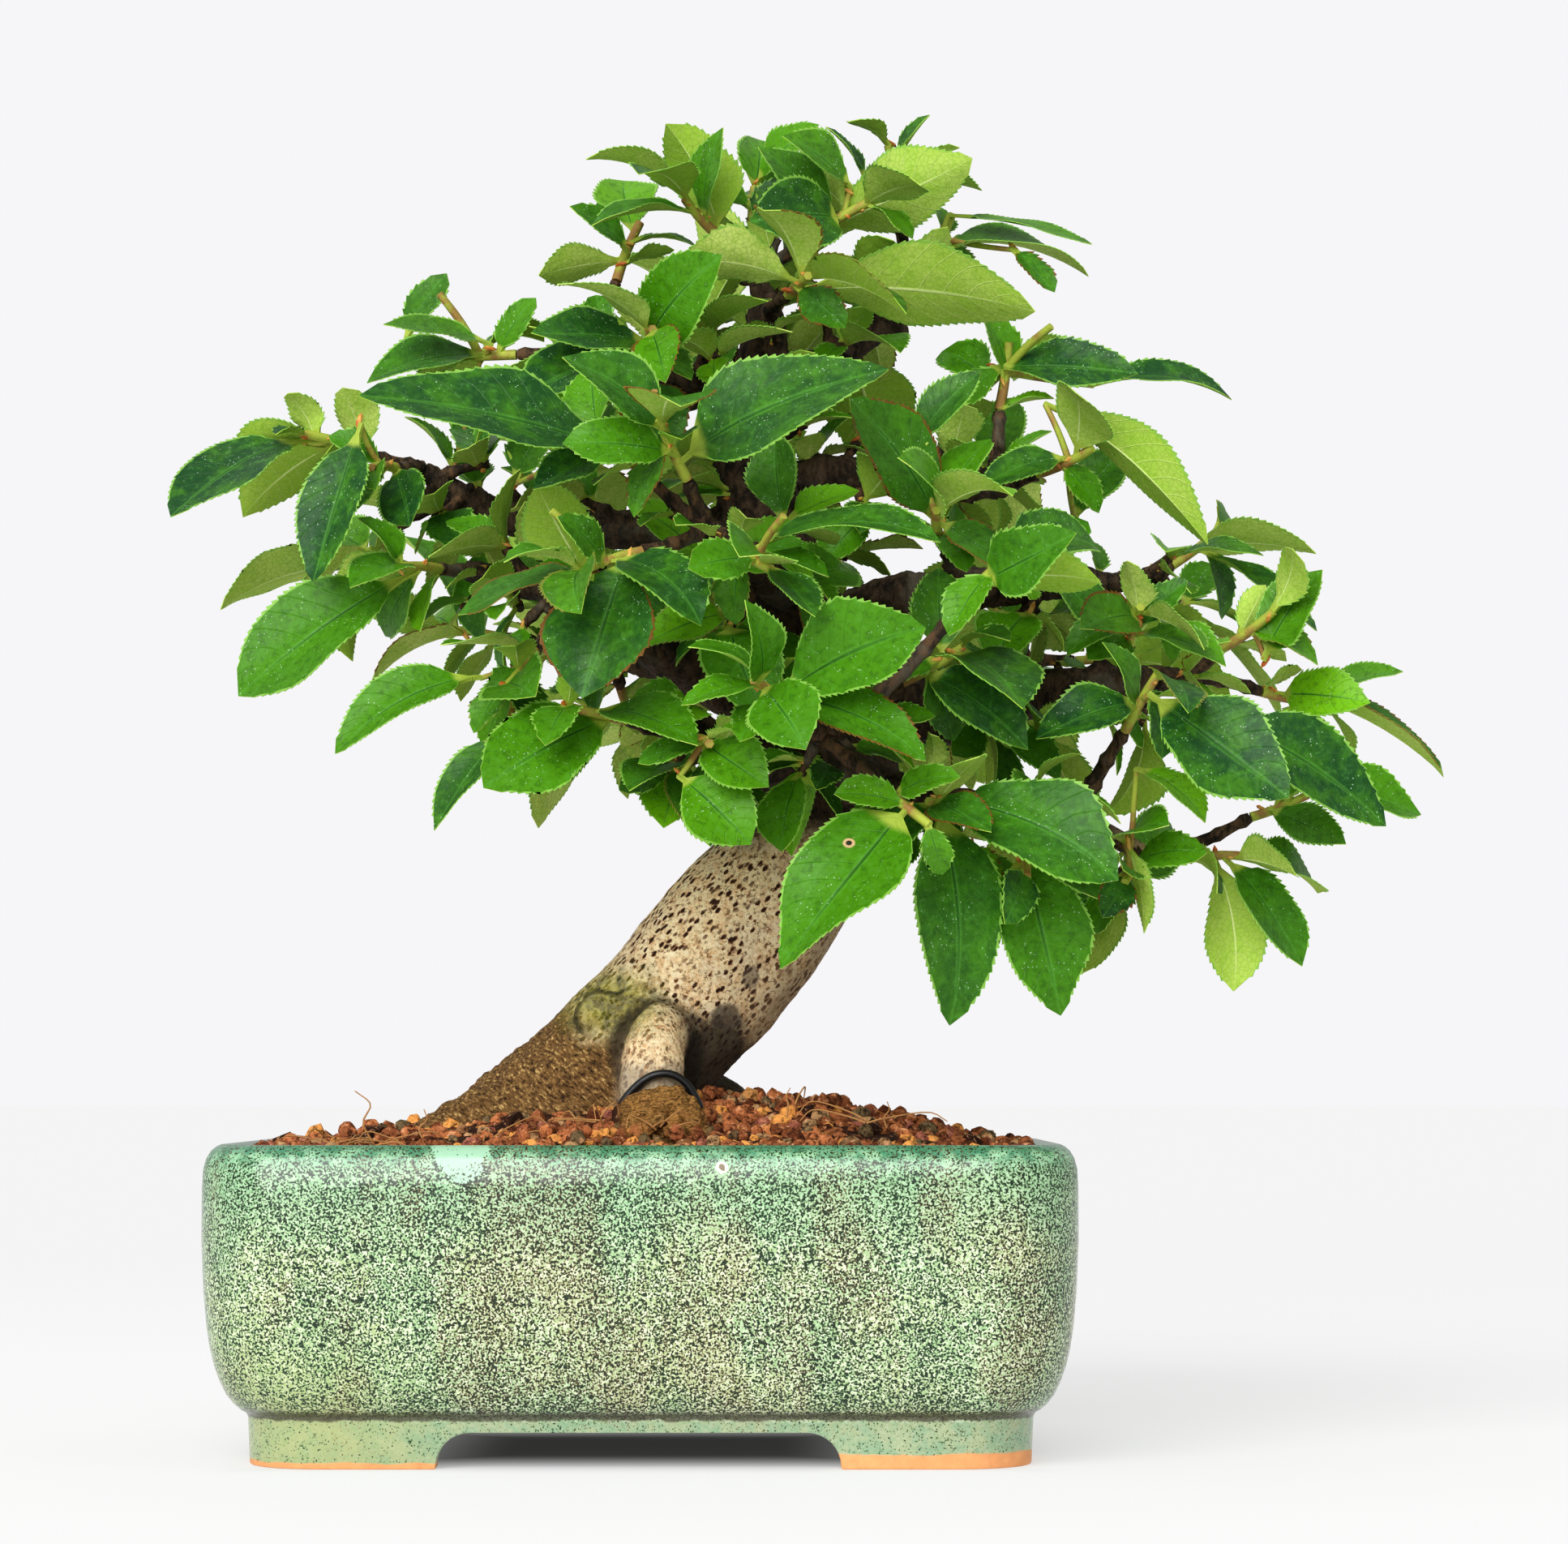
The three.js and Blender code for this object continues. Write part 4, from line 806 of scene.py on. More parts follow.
def makeTwigs(lines):  # thin wood between the limbs and the leaves, with knuckles where leaves grew
    rng = np.random.default_rng(wood["seed"] + 1)
    limbs = []
    for start, end, radii in lines:
        length = np.linalg.norm(end - start)
        steps = max(int(length / twig["step"]), 5)
        side = np.cross(end - start, rng.normal(size=3))
        side *= min(length * twig["bend"], twig["mostBend"]) / max(np.linalg.norm(side), 1e-6)
        shares = [step / steps for step in range(steps + 1)]
        line = [start + (end - start) * share + side * math.sin(math.pi * share) for share in shares]
        knots = [twig["knot"] if step % 4 == 2 else 0 for step in range(steps + 1)]
        thick = [between(radii, share) * (1 + knot + rng.uniform(*twig["uneven"]))
                 for share, knot in zip(shares, knots)]
        limbs.append(makeLimb(line, thick, 1))
    return joinPieces(limbs, "twigs")


rootTie = {"points": [(-6.8, -27, 57), (-4.4, -28.5, 67), (2, -29.3, 73), (8.6, -28.5, 71), (14.4, -27, 58)],
           "width": 1.1, "thickness": 0.8, "steps": 44, "sides": 10}


def makeRootTie():
    shape = bmesh.new()
    rings = []
    sides = rootTie["sides"]
    for step in range(rootTie["steps"] + 1):
        share = step / rootTie["steps"]
        centre = pointAlong(rootTie["points"], share)
        ahead = unit(pointAlong(rootTie["points"], min(share + 0.01, 1))
                     - pointAlong(rootTie["points"], max(share - 0.01, 0)))
        across = unit(np.array([0, -1, 0]) + ahead * ahead[1])
        other = np.cross(ahead, across)
        angles = [side / sides * 2 * math.pi for side in range(sides)]
        rings.append([shape.verts.new(toFrame(centre + across * rootTie["width"] * math.cos(angle)
                                              + other * rootTie["thickness"] * math.sin(angle)))
                      for angle in angles])
    for low, high in zip(rings, rings[1:]):
        for side in range(sides):
            after = (side + 1) % sides
            shape.faces.new((low[side], low[after], high[after], high[side]))
    shape.faces.new(reversed(rings[0]))
    shape.faces.new(rings[-1])
    bmesh.ops.recalc_face_normals(shape, faces=shape.faces)
    band = addBox((1, 1, 1), (0, 0, 0))  # its mesh is emptied and filled anew
    setMode("EDIT")
    bpy.ops.mesh.select_all(action="SELECT")
    bpy.ops.mesh.delete(type="VERT")
    setMode("OBJECT")
    shape.to_mesh(band.data)
    smoothByAngle(band, 50)
    return named(band, "root_band")


# Where the photo was taken from, and its light
stage = {
    "focal": 5333 / 1934 * 36, "cameraAt": (27, -860, 71.6), "pitch": 4.107,
    "floorColour": 0.36, "floorNear": 0.49, "floorFar": 0.44, "floorShadowUnderPot": 0.03, "floorFade": (-0.2, 0.9),
    "backdrop": (0.775, 0.77, 0.785), "skyStrength": 0.5,
    "sunFrom": (-0.35, -1.0, 0.58), "sunPower": 2.6, "sunAngle": 50,
}


# The foliage: the same sprays and the same rule as in the part's source, then the smaller leaves

# the middle of each spray, and its leaves that the photo shows: bearing, length, how far it faces the viewer,
# lean, and for some the width by the length
sprays = {
    "apex_left": ((11, -10, 243), [(112, 20, -0.9, 5, 0.62), (142, 17, 0.7, 20), (78, 17, 0.5, 0),
                                   (188, 22, 0.35, 15)]),
    "apex_far_left": ((-4, 0, 239), [(200, 19, -0.6, 10), (150, 14, 0.7, 20)]),
    "apex_top": ((39, -6, 244), [(24, 28, -0.85, 5, 0.5), (142, 22, 0.8, 5), (190, 20, 0.95, 28, 0.75),
                                 (132, 18, -0.3, -5)]),
    "apex_crown": ((21, 4, 247), [(42, 19, 0.6, 0), (100, 14, 0.6, 10), (160, 15, 0.7, 10)]),
    "apex_right": ((49, 5, 255), [(23, 15, 0.1, -10), (-2, 18, 0.25, -10), (60, 13, 0.5, 10)]),
    "apex_front": ((30, -25, 227), [(-9, 46, -0.6, 12, 0.42), (-28, 16, 0.7, 20), (176, 24, -0.6, 20)]),
    "right_top": ((59, 15, 244), [(-16, 31, 0.3, 0), (-55, 14, 0.6, 10), (-75, 14, 0.7, 0)]),
    "right_crest": ((71, -5, 213), [(-8, 32, 0.75, 15, 0.45), (-8, 44, 0.6, -16, 0.36), (10, 19, 0.1, -4),
                                    (210, 15, 0.8, 10)]),
    "right_shoulder": ((83, -15, 194), [(-44, 38, -0.6, 15, 0.42), (-60, 15, 0.9, -10), (200, 18, 0.7, 10)]),
    "centre_right": ((56, -50, 177), [(128, 28, 0.8, 15), (59, 20, 0.7, 0), (-35, 18, 0.7, 5)]),
    "centre_high": ((6, -60, 190), [(16, 42, 0.8, 12, 0.52), (181, 20, 0.85, 10), (245, 15, 0.7, 5)]),
    "left_long": ((-6, -50, 192), [(171, 47, 0.7, 12, 0.42), (215, 17, 0.8, 15)]),
    "left_inner": ((1, -25, 216), [(206, 28, 0.75, 12), (32, 24, 0.85, 15), (186, 24, 0.8, 5),
                                   (135, 12, -0.7, 5)]),
    "left_crest": ((-34, 0, 217), [(45, 16, 0.8, 5), (196, 23, 0.6, 12), (18, 16, 0.4, -10)]),
    "left_high": ((-64, -6, 199), [(219, 39, 0.75, 13, 0.46), (215, 23, -0.35, -12), (194, 21, -0.4, 5)]),
    "left_shoot": ((-52, -17, 192), [(259, 31, 0.85, 22, 0.5), (236, 14, 0.7, 10), (150, 12, 0.85, 5)]),
    "left_end": ((-45, -20, 172), [(208, 43, 0.85, 10, 0.47), (203, 21, -0.6, -8), (237, 15, 0.5, 0),
                                   (216, 20, 0.7, 20), (238, 15, -0.8, -8)]),
    "left_under": ((-24, -35, 150), [(211, 33, 0.6, 10, 0.42), (245, 16, 0.85, 12), (225, 14, 0.8, -8),
                                     (285, 14, 0.8, 10)]),
    "left_front_low": ((-9, -50, 141), [(218, 25, 0.9, 22, 0.62), (232, 18, 0.95, 0), (231, 28, 0.5, -10),
                                        (-17, 23, 0.6, 20), (214, 13, -0.7, 30)]),
    "front_low_left": ((12, -57, 135), [(-43, 18, 0.95, 10, 0.75), (-75, 14, 0.7, 15), (200, 13, 0.7, 10)]),
    "front_left": ((-6, -60, 168), [(261, 26, 0.95, 10, 0.74), (175, 15, 0.7, 5), (-30, 24, 0.85, 15),
                                    (140, 15, 0.9, 15)]),
    "front_centre": ((24, -70, 143), [(21, 31, 0.95, 8, 0.62), (-22, 33, 0.8, 14, 0.44), (150, 17, 0.3, 25),
                                      (190, 16, 0.5, 15)]),
    "front_low_centre": ((50, -64, 122), [(233, 41, 0.95, 6, 0.55), (170, 14, 0.8, 5)]),
    "right_front_low": ((55, -52, 124), [(-24, 37, 0.9, 16, 0.52), (274, 42, 0.9, 0, 0.44)]),
    "right_front_hang": ((72, -45, 114), [(-78, 31, 0.95, 2, 0.56), (-36, 18, 0.9, 10), (-62, 20, -0.5, -8),
                                          (-51, 16, 0.25, -14)]),
    "right_hang": ((93, -32, 112), [(-60, 17, 0.8, 10), (12, 15, 0.75, 15), (245, 13, 0.7, 5)]),
    "right_tip_low": ((113, -24, 115), [(272, 26, -0.85, 0, 0.5), (-58, 25, 0.7, 5)]),
    "right_end_low": ((125, -20, 126), [(-40, 13, 0.8, 10), (30, 12, -0.7, 5), (75, 12, 0.8, 0)]),
    "right_big": ((95, -45, 144), [(-40, 33, 0.9, 12, 0.56), (-34, 36, 0.85, -12, 0.5), (202, 22, 0.8, 10),
                                   (-75, 15, 0.7, 10)]),
    "right_far": ((130, 8, 149), [(-29, 34, 0.2, 0, 0.4), (-17, 14, 0.9, 12), (5, 14, 0.7, 14),
                                  (255, 13, -0.8, 5)]),
    "right_far_mid": ((119, -12, 161), [(53, 23, 0.8, 5, 0.6), (-30, 15, 0.6, 8), (-4, 14, 0.9, 12)]),
    "right_mid_high": ((111, 5, 180), [(-7, 23, -0.35, 0), (-40, 29, 0.4, 12, 0.42), (-62, 20, 0.85, 18)]),
    "right_mid": ((95, -28, 160), [(-28, 19, 0.6, 12), (39, 13, 0.8, 5), (205, 15, 0.7, 12)]),
    "centre_right_low": ((56, -45, 151), [(-46, 24, 0.85, 12), (-75, 19, 0.85, 16), (200, 15, 0.8, 10)]),
    "centre_right_mid": ((66, -62, 166), [(-7, 20, -0.6, 10), (15, 15, 0.7, 22), (235, 15, 0.8, 15)]),
    "centre_mid": ((22, -66, 168), [(5, 34, 0.4, 8, 0.42), (-20, 15, 0.7, 20), (200, 15, 0.7, 12)]),
}
backSprays = {
    "back_left_low": (-6, 56, 150), "back_left_mid": (-18, 62, 176), "back_left_end": (-40, 46, 166),
    "back_left_side": (-58, 24, 180), "back_right_low": (58, 58, 144), "back_right_mid": (72, 60, 172),
    "back_right_end": (96, 46, 160), "back_right_side": (110, 32, 170), "back_right_high": (68, 34, 197),
    "back_middle": (24, 72, 168), "back_middle_low": (26, 52, 136), "back_middle_high": (22, 68, 197),
    "back_left_high": (-10, 40, 203), "back_crest": (12, 38, 228), "back_crest_right": (42, 32, 226),
    "back_apex": (28, 22, 236),
}
shoots = {"right_crest": (80, -12, 221), "centre_high": (3, -68, 199), "left_crest": (-42, -4, 229),
          "front_left": (-16, -66, 177), "centre_mid": (27, -74, 175)}  # where a spray's second stem ends
fewFillers = ("front_low_left", "front_centre", "front_low_centre", "right_front_hang")
spray = {
    "twigRadii": (1.6, 1.1), "stemRadii": (1.1, 0.9), "shootRadii": (0.9, 0.75),
    "stemBack": 8, "stemAhead": 6, "reach": 11, "leafPitch": 2, "leafSpan": 10.5,
    "fillers": 2, "backFillers": 5, "fillerLength": (15, 14), "backFillerLength": (18, 15), "backFrom": 15,
    "seed": 7001, "seedStep": 97, "crownTop": 267, "heart": np.array([25, 5, 178.0]), "seat": 0.3,
}
cells = {
    "size": 1.1, "low": np.array([-132, -132, 40.0]), "count": (300, 250, 240), "woodMargin": 1.7,
    "samples": 24, "free": 0, "wood": 1, "firstSpray": 2, "shared": 255,
}
leafForm = {
    "stalk": 0.14, "stalkHalfWidth": 0.55, "sink": 0.35, "fold": (0.14, 0.42), "arch": (0.35, 1.1),
    "twist": 0.5, "tries": 60, "ownShare": 0.36, "rootClear": 3.6, "sampleAlong": 0.9, "sampleAcross": 1.8,
    "sampleReach": 1.08, "swell": (0.7, 0.4), "fineSwell": (0.66, 0.2), "ratio": 0.57, "bulge": 0.95,
    "mostFacing": 0.97,
}
moreLeaves = {  # what the part's source has no room for
    "seed": 88, "perSpray": 7, "length": (10, 12), "spurs": 170, "perSpur": 5, "spurGroups": 16,
    "spurLength": (7, 10), "spurLeaf": (12, 12), "spurRadii": (1.3, 0.8), "spurSeed": 31, "spurSeedStep": 89,
    "tries": 24, "lowest": 92, "margin": 1.5, "young": 0.13,
}
# leaves of the photo that the part's source has elsewhere or not at all: the spray, the leaf's number there
# if it has one, where it starts and ends, how far it faces the viewer, its width by its length, and its bulge
photoLeaves = [
    ("front_low_centre", 0, (50.2, -64, 122.5), (25.5, -68, 88.5), 0.95, 0.58, 0.62),
    ("left_shoot", 0, (-55.7, -22, 199.7), (-63.7, -30, 167.8), 0.9, 0.42, 1.0),
    ("left_end", 0, (-44.5, -20, 171.3), (-80.1, -26, 146.8), 0.9, 0.53, 1.25),
    ("left_high", 0, (-68.0, -6, 198.9), (-97.2, -12, 174.2), 0.8, 0.52, 0.95),
    ("left_under", 0, (-31.3, -35, 148.8), (-57.9, -40, 133.7), 0.75, 0.42, 0.85),
    ("front_low_left", 0, (7.6, -58, 128.3), (21.0, -62, 115.3), 0.95, 0.78, 0.95),
    ("right_crest", 0, (68.5, -5, 213.8), (97.1, -12, 211.4), 0.8, 0.46, 0.9),
    ("right_crest", 1, (89.4, 4, 211.7), (117.5, 8, 209.3), 0.5, 0.42, 0.9),
    ("right_shoulder", 0, (78.5, -15, 204.9), (108.7, -22, 175.8), -0.55, 0.36, 0.9),
    ("right_far_mid", 0, (121.6, -12, 154.8), (133.5, -16, 171.8), 0.75, 0.62, 0.8),
    ("right_big", 0, (96.0, -48, 144.5), (120.9, -56, 124.2), 0.95, 0.6, 0.85),
    ("right_big", 1, (109.2, -38, 141.1), (141.9, -34, 120.4), 0.9, 0.42, 0.8),
    ("left_crest", None, (-31.6, -4, 218.5), (-53.7, -8, 220.7), 0.55, 0.4, 0.9),
    ("left_crest", None, (-49.1, 4, 221.1), (-41.2, 6, 234.8), 0.8, 0.55, 0.9),
    ("left_under", None, (-25.9, -42, 137.6), (-38.6, -46, 118.8), 0.7, 0.45, 0.8),
    ("apex_crown", None, (21.8, 6, 253.2), (34.8, 2, 264), 0.7, 0.62, 0.9),
    ("apex_top", None, (40.3, -6, 249.9), (25.9, -12, 259.3), 0.75, 0.62, 0.9),
    ("right_top", None, (60.6, 15, 248.6), (89.6, 12, 241.5), 0.35, 0.28, 0.9),
    ("right_top", None, (73.3, 8, 240.2), (81.9, 5, 230.6), 0.8, 0.5, 0.9),
    ("right_hang", None, (94.4, -34, 131.2), (107.0, -38, 120.8), 0.6, 0.6, 0.9),
    ("apex_right", None, (43.4, 5, 254.0), (35.6, 2, 264.5), 0.4, 0.42, 0.8),
    ("centre_right", None, (51.9, -44, 192.5), (64.4, -46, 206.4), 0.8, 0.5, 0.8),
    ("right_hang", 0, (92.2, -34, 117.3), (95.8, -36, 99.9), -0.5, 0.34, 0.9),
    ("right_crest", None, (68.3, -2, 210.8), (56.4, -4, 221.0), 0.7, 0.75, 1.05),
    ("left_crest", None, (-39.9, 8, 195.1), (-49.7, 8, 206.2), 0.3, 0.5, 0.9),
    ("left_long", None, (-25.9, -8, 190.3), (-17.3, -8, 202.8), 0.75, 0.8, 0.9),
    ("right_shoulder", None, (85.4, 2, 183.9), (96.3, 2, 197.5), 0.8, 0.7, 0.95),
]
photoLeafForm = {"arch": 0.7, "fold": 0.28, "twist": 0, "room": 2.4, "stemRadii": (0.7, 0.55)}
# where the photo shows no leaf: the middle across and up in the plane of the trunk, and the radius
emptyPlaces = [(123.4, 187, 7.2), (-75.7, 209.5, 6.5), (105.7, 105.5, 7.2), (-2.7, 124, 7.5)]
taken = np.zeros(cells["count"], np.uint8)
viewer = np.array([0, -1.0, 0])
skyward = np.array([0, 0, 1.0])
around = np.array([(a, b, c) for a in (-1, 0, 1) for b in (-1, 0, 1) for c in (-1, 0, 1)])


def drawsFrom(seed):
    state = seed
    while True:
        state = state * 16807 % 2147483647
        yield state / 2147483647


def cellOf(points):
    return np.floor((points - cells["low"]) / cells["size"]).astype(int)


def cellsAround(points):
    found = (cellOf(points)[:, None] + around).reshape(-1, 3)
    return tuple(found.T)


def take(index, owner):
    now = taken[index]
    clash = np.where(now == cells["wood"], cells["wood"], cells["shared"])
    taken[index] = np.where(now == cells["free"], owner, np.where(now == owner, owner, clash))


def takeLimb(points, radii, owner):
    samples = cells["samples"] * (len(points) - 1)
    for sample in range(samples + 1):
        share = sample / samples
        centre = pointAlong(points, share)
        reach = radiusAt(radii, share) + cells["woodMargin"]
        span = math.ceil(reach / cells["size"])
        lines = [np.arange(m - span, m + span + 1) for m in cellOf(centre)]
        away = [(cells["low"][k] + (lines[k] + 0.5) * cells["size"] - centre[k]) ** 2 for k in range(3)]
        inside = np.nonzero(np.sqrt(away[0][:, None, None] + away[1][:, None] + away[2]) < reach)
        take(tuple(line[i] for line, i in zip(lines, inside)), owner)


def halfWidthAt(leaf, share, fine):
    blade = np.maximum((share - leafForm["stalk"]) / (1 - leafForm["stalk"]), 0)
    low, more = leafForm["fineSwell" if fine else "swell"]
    bulge = leaf["bulge"] if fine else leafForm["bulge"]  # the lower, the nearer its stalk it is widest
    swell = np.abs(np.sin(np.pi * blade ** bulge)) ** (low + more * blade)
    stalk = leafForm["stalkHalfWidth"]
    half = np.maximum(leaf["width"] / 2 * swell, np.where(blade < 0.5, stalk, 0))
    return np.where(blade <= 0, stalk, half)


def leafPlaces(leaf, share, aside, lift=0.0, tooth=None, sway=0.0):
    # the leaf is bent along an arc, folded up from its rib and twisted
    along, up, arch = leaf["along"], leaf["up"], leaf["arch"]
    half = arch / 2
    radius = leaf["length"] / (2 * math.sin(half))
    turn = (arch * (share - 0.5))[:, None]
    face = up * np.cos(turn) + along * np.sin(turn)
    side = np.cross(along, up)
    roll = (leaf["twist"] * (share - 0.5))[:, None]
    rolledSide = side * np.cos(roll) + face * np.sin(roll)
    rolledFace = face * np.cos(roll) - side * np.sin(roll)
    out = halfWidthAt(leaf, share, tooth is not None) * aside
    if tooth is not None:
        out = out + np.sign(aside) * tooth * leafSkin["tooth"]
    out = out[:, None]
    lift, sway = np.asarray(lift).reshape(-1, 1), np.asarray(sway).reshape(-1, 1)
    return (leaf["base"] + along * (leaf["length"] / 2 + radius * np.sin(turn))
            + up * (radius * (np.cos(turn) - math.cos(half)))
            + rolledSide * (out * math.cos(leaf["fold"]) + sway)
            + rolledFace * (np.abs(out) * math.sin(leaf["fold"]) + lift))


def leafSamples(leaf):
    rows = math.ceil(leaf["length"] / leafForm["sampleAlong"])
    columns = math.ceil(leaf["width"] / leafForm["sampleAcross"])
    share = np.repeat(np.arange(1, rows + 1) / rows, 2 * columns + 1)
    aside = np.tile(leafForm["sampleReach"] * np.arange(-columns, columns + 1) / columns, rows)
    return share, leafPlaces(leaf, share, aside)


def isClear(share, points, length, owner):
    if points[:, 2].max() > spray["crownTop"]:
        return False
    found = taken[tuple(cellOf(points).T)]
    clear = np.where(found == owner, share < leafForm["ownShare"], share * length < leafForm["rootClear"])
    return bool(np.all(clear | (found == cells["free"])))


def facing(share):
    return min(max(share, -leafForm["mostFacing"]), leafForm["mostFacing"])


def faceFor(along, share):  # turns the upper face as far to the viewer as its share says, and else to the sky
    seen = unit(viewer - along * viewer.dot(along))
    other = np.cross(along, seen)
    if other[2] < 0:
        other = -other
    return seen * share + other * math.sqrt(1 - share * share)


def isWanted(leaf):  # not in a place that the photo shows empty
    middle = leaf["base"] + leaf["along"] * leaf["length"] * 0.6
    camera = stage["cameraAt"]
    nearer = -camera[1] / (middle[1] - camera[1])
    x, z = (camera[k] + (middle[k] - camera[k]) * nearer for k in (0, 2))
    return all(math.hypot(x - px, z - pz) > reach for px, pz, reach in emptyPlaces)


def settle(one, station, wish, tries=leafForm["tries"], box=None):
    for attempt in range(tries):
        loose = attempt / tries
        a, b, c, d, e, f = (2 * next(one["draw"]) - 1 for _ in range(6))
        along, up, length, width = wish(station, loose, a, b, c, d)
        leaf = {
            "along": along, "up": up, "length": length + leafForm["sink"], "width": width,
            "base": station - along * leafForm["sink"], "arch": between(leafForm["arch"], (e + 1) / 2),
            "fold": between(leafForm["fold"], (f + 1) / 2), "twist": leafForm["twist"] * d,
        }
        share, points = leafSamples(leaf)
        if box is not None and (np.any(points < box[0]) or np.any(points > box[1]) or not isWanted(leaf)):
            continue
        if isClear(share, points, leaf["length"], one["owner"]):
            take(cellsAround(points), one["owner"])
            one["settled"].append(leaf)
            return True
    return False


def shownWish(one, row):
    bearing, length, share, lean, *rest = row
    ratio = rest[0] if rest else leafForm["ratio"]
    bearing, lean = math.radians(bearing), math.radians(lean)
    tip = one["node"] + length * np.array([math.cos(bearing), -math.tan(lean), math.sin(bearing)])

    def wish(station, loose, a, b, c, d):
        along = tip - station + loose * length * np.array([0.3 * a, 1.1 * b, 0.3 * c])
        grown = np.linalg.norm(along) * (1 - 0.2 * loose)
        along = unit(along)
        return along, faceFor(along, facing(share + 0.6 * loose * d)), grown, grown * ratio
    return wish


def fillerWish(one, number, lengths):
    axis = one["along"]
    out = unit(one["node"] - spray["heart"])
    first = unit(np.cross(axis, skyward))
    second = np.cross(axis, first)
    length = lengths[0] + lengths[1] * next(one["draw"]) ** 1.5
    ratio = 0.54 + 0.16 * next(one["draw"])

    def wish(station, loose, a, b, c, d):
        angle = number * 2.4 + a * (0.4 + 2 * loose)
        spread = 1.05 + 0.35 * b
        along = (axis * math.cos(spread) + first * (math.sin(spread) * math.cos(angle))
                 + second * (math.sin(spread) * math.sin(angle)) + out * 0.45)
        along = unit(along + skyward * (0.25 * c - 0.1))
        up = out * 0.55 + skyward * 0.75 + np.array([0.4 * c, 0.4 * d, 0])
        up = unit(up - along * up.dot(along))
        grown = length * (1 - 0.3 * loose)
        return along, up, grown, grown * ratio
    return wish


def stationOf(one, number):  # where on its stem a leaf starts, the shown ones nearest the wood
    last = len(one["leaves"]) + one["fillers"] - 1
    span = min(spray["leafPitch"] * last, spray["leafSpan"])
    return one["node"] + one["along"] * span * (number / last - 0.5)


def carrySpray(number, name, at, leaves, fillers, places):
    node = np.array(at, float)
    away = np.linalg.norm(places - node, axis=1)
    away[away < spray["reach"]] = np.inf
    root = places[np.argmin(away)]
    along = unit(node - root)
    one = {"name": name, "node": node, "along": along, "leaves": leaves, "fillers": fillers,
           "isBack": at[1] > spray["backFrom"], "owner": cells["firstSpray"] + number,
           "draw": drawsFrom(spray["seed"] + spray["seedStep"] * number),
           "settled": [], "shown": {}, "lost": [], "twig": (root, node - along * spray["stemBack"]),
           "stems": [(node - along * (spray["stemBack"] - spray["seat"]), node + along * spray["stemAhead"],
                      spray["stemRadii"])]}
    if name in shoots:
        one["stems"].append((node, np.array(shoots[name], float), spray["shootRadii"]))
    takeLimb(one["twig"], spray["twigRadii"], cells["wood"])
    return one


def growSprays():
    places = np.array([pointAlong(limb["points"], place / 60)
                       for limb in [trunk] + branches for place in range(61)])
    for limb in [trunk, rootStub] + branches:
        takeLimb(limb["points"], limb["radii"], cells["wood"])
    rows = [(name, at, leaves, 1 if name in fewFillers else spray["fillers"])
            for name, (at, leaves) in sprays.items()]
    rows += [(name, at, [], spray["backFillers"]) for name, at in backSprays.items()]
    grown = [carrySpray(number, *row, places) for number, row in enumerate(rows)]
    for one in grown:
        for start, end, radii in one["stems"]:
            takeLimb((start, end), radii, one["owner"])
    for one in grown:
        for number, row in enumerate(one["leaves"]):
            if settle(one, stationOf(one, number), shownWish(one, row)):
                one["shown"][number] = one["settled"][-1]
            else:
                one["lost"].append((number, row))
    for one in grown:
        lengths = spray["backFillerLength" if one["isBack"] else "fillerLength"]
        for number in range(one["fillers"]):
            if settle(one, stationOf(one, len(one["leaves"]) + number), fillerWish(one, number, lengths)):
                one["settled"][-1]["filler"] = True
    return grown


def freeLeaf(leaf, owner):
    index = cellsAround(leafSamples(leaf)[1])
    taken[index] = np.where(taken[index] == owner, cells["free"], taken[index])


def dropLeaf(one, leaf):
    freeLeaf(leaf, one["owner"])
    one["settled"] = [other for other in one["settled"] if other is not leaf]


def makeRoom(grown, points):  # fillers in the way of a leaf that the photo shows are left out
    middle, reach = points.mean(0), np.linalg.norm(np.ptp(points, axis=0)) / 2
    for one in grown:
        for leaf in one["settled"]:
            centre = leaf["base"] + leaf["along"] * leaf["length"] / 2
            if "filler" not in leaf or np.linalg.norm(centre - middle) > reach + leaf["length"] / 2 + 3:
                continue
            others = leafSamples(leaf)[1]
            if np.linalg.norm(others[:, None] - points, axis=2).min() < photoLeafForm["room"]:
                dropLeaf(one, leaf)


def placeAsShown(grown, one, number, base, tip, share, ratio, bulge, box):
    old = one["shown"].get(number)
    if old is not None:
        freeLeaf(old, one["owner"])
    base = np.array(base, float)
    span = np.array(tip, float) - base
    length = np.linalg.norm(span)

    def wish(station, loose, a, b, c, d):
        along = unit(span + loose * length * np.array([0.12 * a, 0.9 * b, 0.12 * c]))
        grown = length * (1 - 0.12 * loose)
        return along, faceFor(along, facing(share + 0.5 * loose * d)), grown, grown * ratio
    flat = {**photoLeafForm, "along": span / length, "up": faceFor(span / length, share), "length": length,
            "width": length * ratio, "base": base}
    makeRoom(grown, leafSamples(flat)[1])
    if settle(one, base, wish, box=box):
        leaf = one["settled"].pop()
        leaf["bulge"] = bulge
        one["settled"] = [leaf] + [other for other in one["settled"] if other is not old]
        one["stems"].append((one["node"], base, photoLeafForm["stemRadii"]))
    elif old is not None:
        take(cellsAround(leafSamples(old)[1]), one["owner"])


